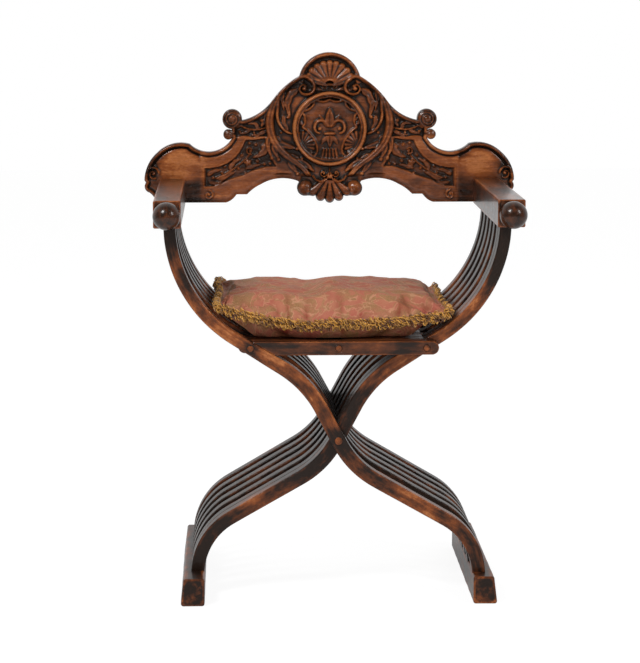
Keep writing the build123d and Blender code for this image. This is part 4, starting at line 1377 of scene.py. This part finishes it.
def flat_cloth(places):
    """Where each point lay on the cloth before it was sewn, so that the figure isn't stretched."""
    spread = np.zeros((len(places), 3))
    u, v, panel = spots.T
    for side in (-1, 1):
        own = (panel == side) | (panel == 0)
        for axis, across, along in ((0, v, u), (1, u, v)):
            for line in np.unique(across.round(6)):
                row = np.nonzero(own & (across.round(6) == line))[0]
                row = row[np.argsort(along[row])]
                gone = travelled(places[row])
                spread[row, axis] = gone - np.interp(0, along[row], gone)
        spread[panel == side, 2] = 0.4 * (side < 0)
    return spread


def swell(piece, pressure, slack, frames, cap):
    """Blows the cushion up as cloth, lets the cloth wrinkle, and keeps the result.

    No point moves by more than the cap, and those at the seam by much less.
    """
    before = points_of(piece)
    cloth = piece.modifiers.new("swelling", "CLOTH")
    cloth.settings.quality = 6
    cloth.settings.mass = 0.25
    cloth.settings.tension_stiffness = 18
    cloth.settings.compression_stiffness = 12
    cloth.settings.bending_stiffness = 0.35
    cloth.settings.use_pressure = True
    cloth.settings.uniform_pressure_force = pressure
    cloth.settings.shrink_min = -slack
    cloth.settings.effector_weights.gravity = 0
    cloth.collision_settings.use_self_collision = False
    cloth.point_cache.frame_start = 1
    cloth.point_cache.frame_end = frames
    scene = bpy.context.scene
    for moment in range(1, frames + 1):
        scene.frame_set(moment)
    shown = piece.evaluated_get(bpy.context.evaluated_depsgraph_get())
    after = np.zeros(len(before) * 3)
    shown.data.vertices.foreach_get("co", after)
    piece.modifiers.remove(cloth)
    scene.frame_set(1)
    move = after.reshape(-1, 3) - before
    length = np.linalg.norm(move, axis=1)
    reach = cap * (0.15 + 0.85 * unit(to_seam / 0.02))
    move *= (np.minimum(length, reach) / np.maximum(length, 1e-9))[:, None]
    piece.data.vertices.foreach_set("co", (before + move).ravel())
    piece.data.update()


def crumple(points, rest):
    """The creases and hollows that sitting leaves, the small puckers along the seam, and the shade
    painted into the puckers on the front.
    """
    out = points.copy()
    painted_crease_shade = np.zeros(len(points))
    u, v, panel = spots.T
    upper = panel > -1
    along = np.where(side_gap < end_gap, rest[:, 1], rest[:, 0])
    for spot, ((x, y, _), gap) in enumerate(zip(rest, to_seam)):
        pucker = noise.noise(Vector((along[spot] * 62, gap * 14, 2.0 if upper[spot] else 7.0)))
        near_seam = math.exp(-gap / 0.030) * min(1, gap / 0.004)
        crease = 0.6 * noise.noise(Vector((x * 13 + 3, y * 19, 4)))
        crease += 0.25 * noise.noise(Vector((x * 31, y * 37, 9)))
        ridge = 0.12 - abs(noise.noise(Vector((x * 15 + 9, y * 23 + 4, 1))))
        middle = min(1, gap / 0.05)
        lift = 0.0064 * pucker * near_seam + middle * (0.006 * crease + 0.009 * ridge)
        # painted shade in the puckers along the front seam
        painted_crease_shade[spot] = 2.6 * max(0, -pucker - 0.05) * near_seam * (v[spot] < 0)
        if upper[spot]:
            tuft = math.exp(-((x + 0.008) ** 2 / 0.0010 + (y + 0.03) ** 2 / 0.009))
            dip = math.exp(-((x + 0.048) ** 2 / 0.0007 + (y + 0.02) ** 2 / 0.016))
            lift += 0.008 * tuft - 0.010 * dip - 0.004 * max(0, u[spot]) ** 2
        out[spot, 2] += lift if upper[spot] else 0.3 * lift
        side = 0.004 * pucker * near_seam
        out[spot, 0] += side * np.sign(u[spot]) * (abs(u[spot]) > 0.9)
        out[spot, 1] += side * np.sign(v[spot]) * (abs(v[spot]) > 0.9)
    return out, painted_crease_shade


def settle_down(points):
    """Keeps the cushion on the slats that carry it, and within its size."""
    ease = 0.012              # the crown is eased down over this height
    top = cushion_high.z - ease
    points[:, 2] = np.maximum(points[:, 2], support_height(points[:, 0]))
    over = points[:, 2] - top
    points[:, 2] = np.where(over > 0, top + ease * np.tanh(over / ease), points[:, 2])
    points[:, 1] = np.clip(points[:, 1], cushion_low.y - 0.007, cushion_high.y + 0.007)
    points[:, 0] = np.clip(points[:, 0], cushion_low.x - 0.006, cushion_high.x + 0.006)
    return points


cushion = new_piece("brocade_cushion", vertices, faces, brocade_finish())
rest = points_of(cushion)
lay(cushion, "cloth", flat_cloth(rest))
swell(cushion, pressure=4.0, slack=0.06, frames=20, cap=0.014)
crumpled, painted_crease_shade = crumple(points_of(cushion), rest)
final = settle_down(crumpled)
cushion.data.vertices.foreach_set("co", final.ravel())
cushion.data.update()
# painted shade: darker where the cushion sags below its seam, and in the creases near the front
# seam
lowness = unit((seam_height(spots[:, 0]) + 0.012 - final[:, 2]) / 0.03)
lay(cushion, "fold", np.clip(0.04 * lowness + painted_crease_shade, 0, 0.8))
smoothing = cushion.modifiers.new("smooth cloth", "SUBSURF")
smoothing.levels = smoothing.render_levels = 1
fit(cushion, "seat_cushion", "brocade", "cushion")


# ---- Fringe ----------------------------------------------------------------------------------
# Looped gold fringe is sewn round the cushion's seam: a two-strand braid, and under it four rows
# of little loops of twisted thread, the lowest hanging and the highest standing up a little.


def fringe_finish():
    gold = Finish("gold_fringe")
    tone = gold.field("tone")
    twist = gold.field("grain", "Vector")
    strand = gold.cloud(gold.stretched(twist, 900, 900), 2.0)
    # painted light and shade: each loop's tone runs from dark brown to gold, and pale gold
    # highlights are painted along the strands
    shade = gold.mix(tone, colour(102, 58, 12), colour(190, 130, 40))
    shade = gold.mix(strand.between(0.4, 0.65) * tone * 0.5, shade, colour(244, 192, 88))
    gold.relief(strand, 0.0003)
    return gold.settle(base_color=shade, roughness=0.5 - 0.12 * strand, sheen_weight=0.2)


def seam_path(spacing):
    """Places along the cushion's sewn edge, with the directions ahead and outwards at each."""
    line = closed(final[seam_line])
    travel = travelled(line)
    stations = np.linspace(0, travel[-1], round(travel[-1] / spacing) + 1)[:-1]
    places = np.stack([np.interp(stations, travel, line[:, axis]) for axis in range(3)], 1)
    for _ in range(2):
        places = (np.roll(places, 1, 0) + 2 * places + np.roll(places, -1, 0)) / 4
    ahead = np.roll(places, -1, 0) - np.roll(places, 1, 0)
    ahead /= np.linalg.norm(ahead, axis=1)[:, None]
    outwards = np.cross(ahead, (0, 0, 1))
    outwards /= np.linalg.norm(outwards, axis=1)[:, None]
    return places, ahead, outwards


def thread(points, radius, sides, vertices, faces):
    """Adds a thin round thread along points to a mesh in the making, and counts its points."""
    points = np.array(points)
    heading = np.gradient(points, axis=0)
    heading /= np.linalg.norm(heading, axis=1)[:, None]
    side = np.cross(heading, (0.13, 0.21, 0.97))
    side /= np.linalg.norm(side, axis=1)[:, None]
    over = np.cross(side, heading)
    start = len(vertices)
    for point, a, b in zip(points, side, over):
        for spot in range(sides):
            turn = 2 * math.pi * spot / sides
            vertices.append(point + radius * (a * math.cos(turn) + b * math.sin(turn)))
    end = len(vertices)
    faces += skin(start, len(points), sides)
    faces += [range(start, start + sides), range(end - sides, end)]
    return end - start


loop_spacing = 0.0031
loop_thread = 0.00105
loop_half_width = 0.0034
# each row's rise from level in degrees, and how long its loops are
loop_rows = ((-72, 0.0135), (-36, 0.0125), (2, 0.0110), (40, 0.0095))
braid_strand = 0.0017

places, aheads, outwards = seam_path(loop_spacing)
up = np.array([0, 0, 1.0])
vertices, faces, tones = [], [], []
for row, (rise, size) in enumerate(loop_rows):
    for number, (place, ahead, out) in enumerate(zip(places, aheads, outwards)):
        sway = noise.noise(Vector((number * 1.83, row * 5.1, 0.5)))
        swing = noise.noise(Vector((number * 2.31, row * 3.3, 8.5)))
        glint = noise.noise(Vector((number * 3.7, row * 9.1, 4.5)))
        lean = math.radians(rise + 40 * swing)
        away = out * math.cos(lean) + up * math.sin(lean)
        tilt = math.radians(55 * sway + 30)
        sideways = ahead * math.cos(tilt) + np.cross(ahead, away) * math.sin(tilt)
        foot = place + out * 0.0015 + ahead * (0.0022 * row + 0.0035 * swing)
        reach = size * (1 + 0.45 * sway)
        loop = []
        for turn in np.linspace(0, 2 * math.pi, 9):
            curl = away * reach * (1 - math.cos(turn)) / 2
            loop.append(foot + curl + sideways * loop_half_width * math.sin(turn))
        # painted light: a random glint for each loop, a little lighter in the higher rows
        tone = 0.45 + 1.8 * glint + 0.10 * row
        tones += [tone] * thread(loop, loop_thread, 4, vertices, faces)
for strand in range(2):
    braid = []
    for number in range(len(places) + 1):
        spot = number % len(places)
        turn = number * 2 * math.pi / 3 + strand * math.pi
        wide, high = 0.0024 + 0.0011 * math.cos(turn), 0.0012 + 0.0019 * math.sin(turn)
        braid.append(places[spot] + outwards[spot] * wide + up * high)
    tones += [0.35] * thread(braid, braid_strand, 6, vertices, faces)
fringe = new_piece("looped_fringe", vertices, faces, fringe_finish())
lay(fringe, "tone", unit(tones))
lay(fringe, "grain", vertices)
fit(fringe, "seat_cushion", "gold_fringe", "cushion_fringe")


# ---- Studio ----------------------------------------------------------------------------------
# A pale floor and pale surroundings, a lamp from the front left and above, a weaker one from the
# right and a soft one low in front.  The floor shows white, and keeps a faint shadow.


floor_shape = [(-4, -7, 0), (5, -7, 0), (5, 9, 0), (-4, 9, 0)]
floor_finish = Finish("pale_floor")
floor_finish.settle(base_color=(0.8, 0.8, 0.8, 1), roughness=0.9)
seen = floor_finish.node("LightPath", output="Is Camera Ray")
mirrored = floor_finish.node("LightPath", output="Is Glossy Ray")
through = floor_finish.node("LightPath", output="Is Transmission Ray")
glow = floor_finish.node("Emission", None, {"Color": (1, 1, 1, 1), "Strength": 1.16})
plain = Value(floor_finish, floor_finish.surface.outputs[0])
whitened = seen.most(mirrored * 0.5).most(through) * 0.78
lit = floor_finish.node("MixShader", None, {0: whitened, 1: plain, 2: glow})
floor_finish.feed(floor_finish.tree.nodes["Material Output"].inputs["Surface"], lit)
floor = new_piece("floor", floor_shape, [(0, 1, 2, 3)], floor_finish.material, smooth=False)
floor.location.z = -0.0003

world = bpy.data.worlds.new("pale_room")
bpy.context.scene.world = world
room = Shading(world)
facing = room.node("SeparateXYZ", None, {0: room.node("TexCoord", output="Generated")}, output="Y")
depth = facing.between(-0.25, 0.40)
room_seen = room.node("LightPath", output="Is Camera Ray")
background = room.tree.nodes["Background"].inputs
room.feed(background["Strength"], (0.09 + 0.79 * depth).most(room_seen))
room.feed(background["Color"], (1, 1, 1, 1))


def lamp(name, place, aim, size, watts, mirrored=True):
    """A flat lamp that faces a place; one that isn't mirrored stays out of the reflections."""
    light = bpy.data.lights.new(name, "AREA")
    light.shape = "RECTANGLE"
    light.size, light.size_y = size
    light.energy = watts
    holder = bpy.data.objects.new(name, light)
    holder.location = place
    holder.rotation_euler = (Vector(aim) - Vector(place)).to_track_quat("-Z", "Y").to_euler()
    holder.visible_glossy = mirrored
    bpy.context.scene.collection.objects.link(holder)


lamp("key_lamp", (-1.8, -2.2, 3.0), (0, 0, 0.55), (0.9, 0.9), 88)
lamp("fill_lamp", (2.2, -2.0, 2.2), (0, 0, 0.55), (0.7, 1.2), 34)
lamp("front_lamp", (0.3, -5.0, 0.8), (0, 0, 0.5), (1.2, 1.2), 45, mirrored=False)

camera_data = bpy.data.cameras.new("camera")
camera_data.sensor_fit = "VERTICAL"
camera_data.sensor_height = 36
camera_data.lens = 130.67
camera = bpy.data.objects.new("camera", camera_data)
camera.location = (-0.1857, -4.3317, 1.119)
camera.rotation_euler = (math.radians(90 - 8.65), 0, math.radians(-2.10))
bpy.context.scene.collection.objects.link(camera)
bpy.context.scene.camera = camera
bpy.context.scene.view_settings.view_transform = "Standard"
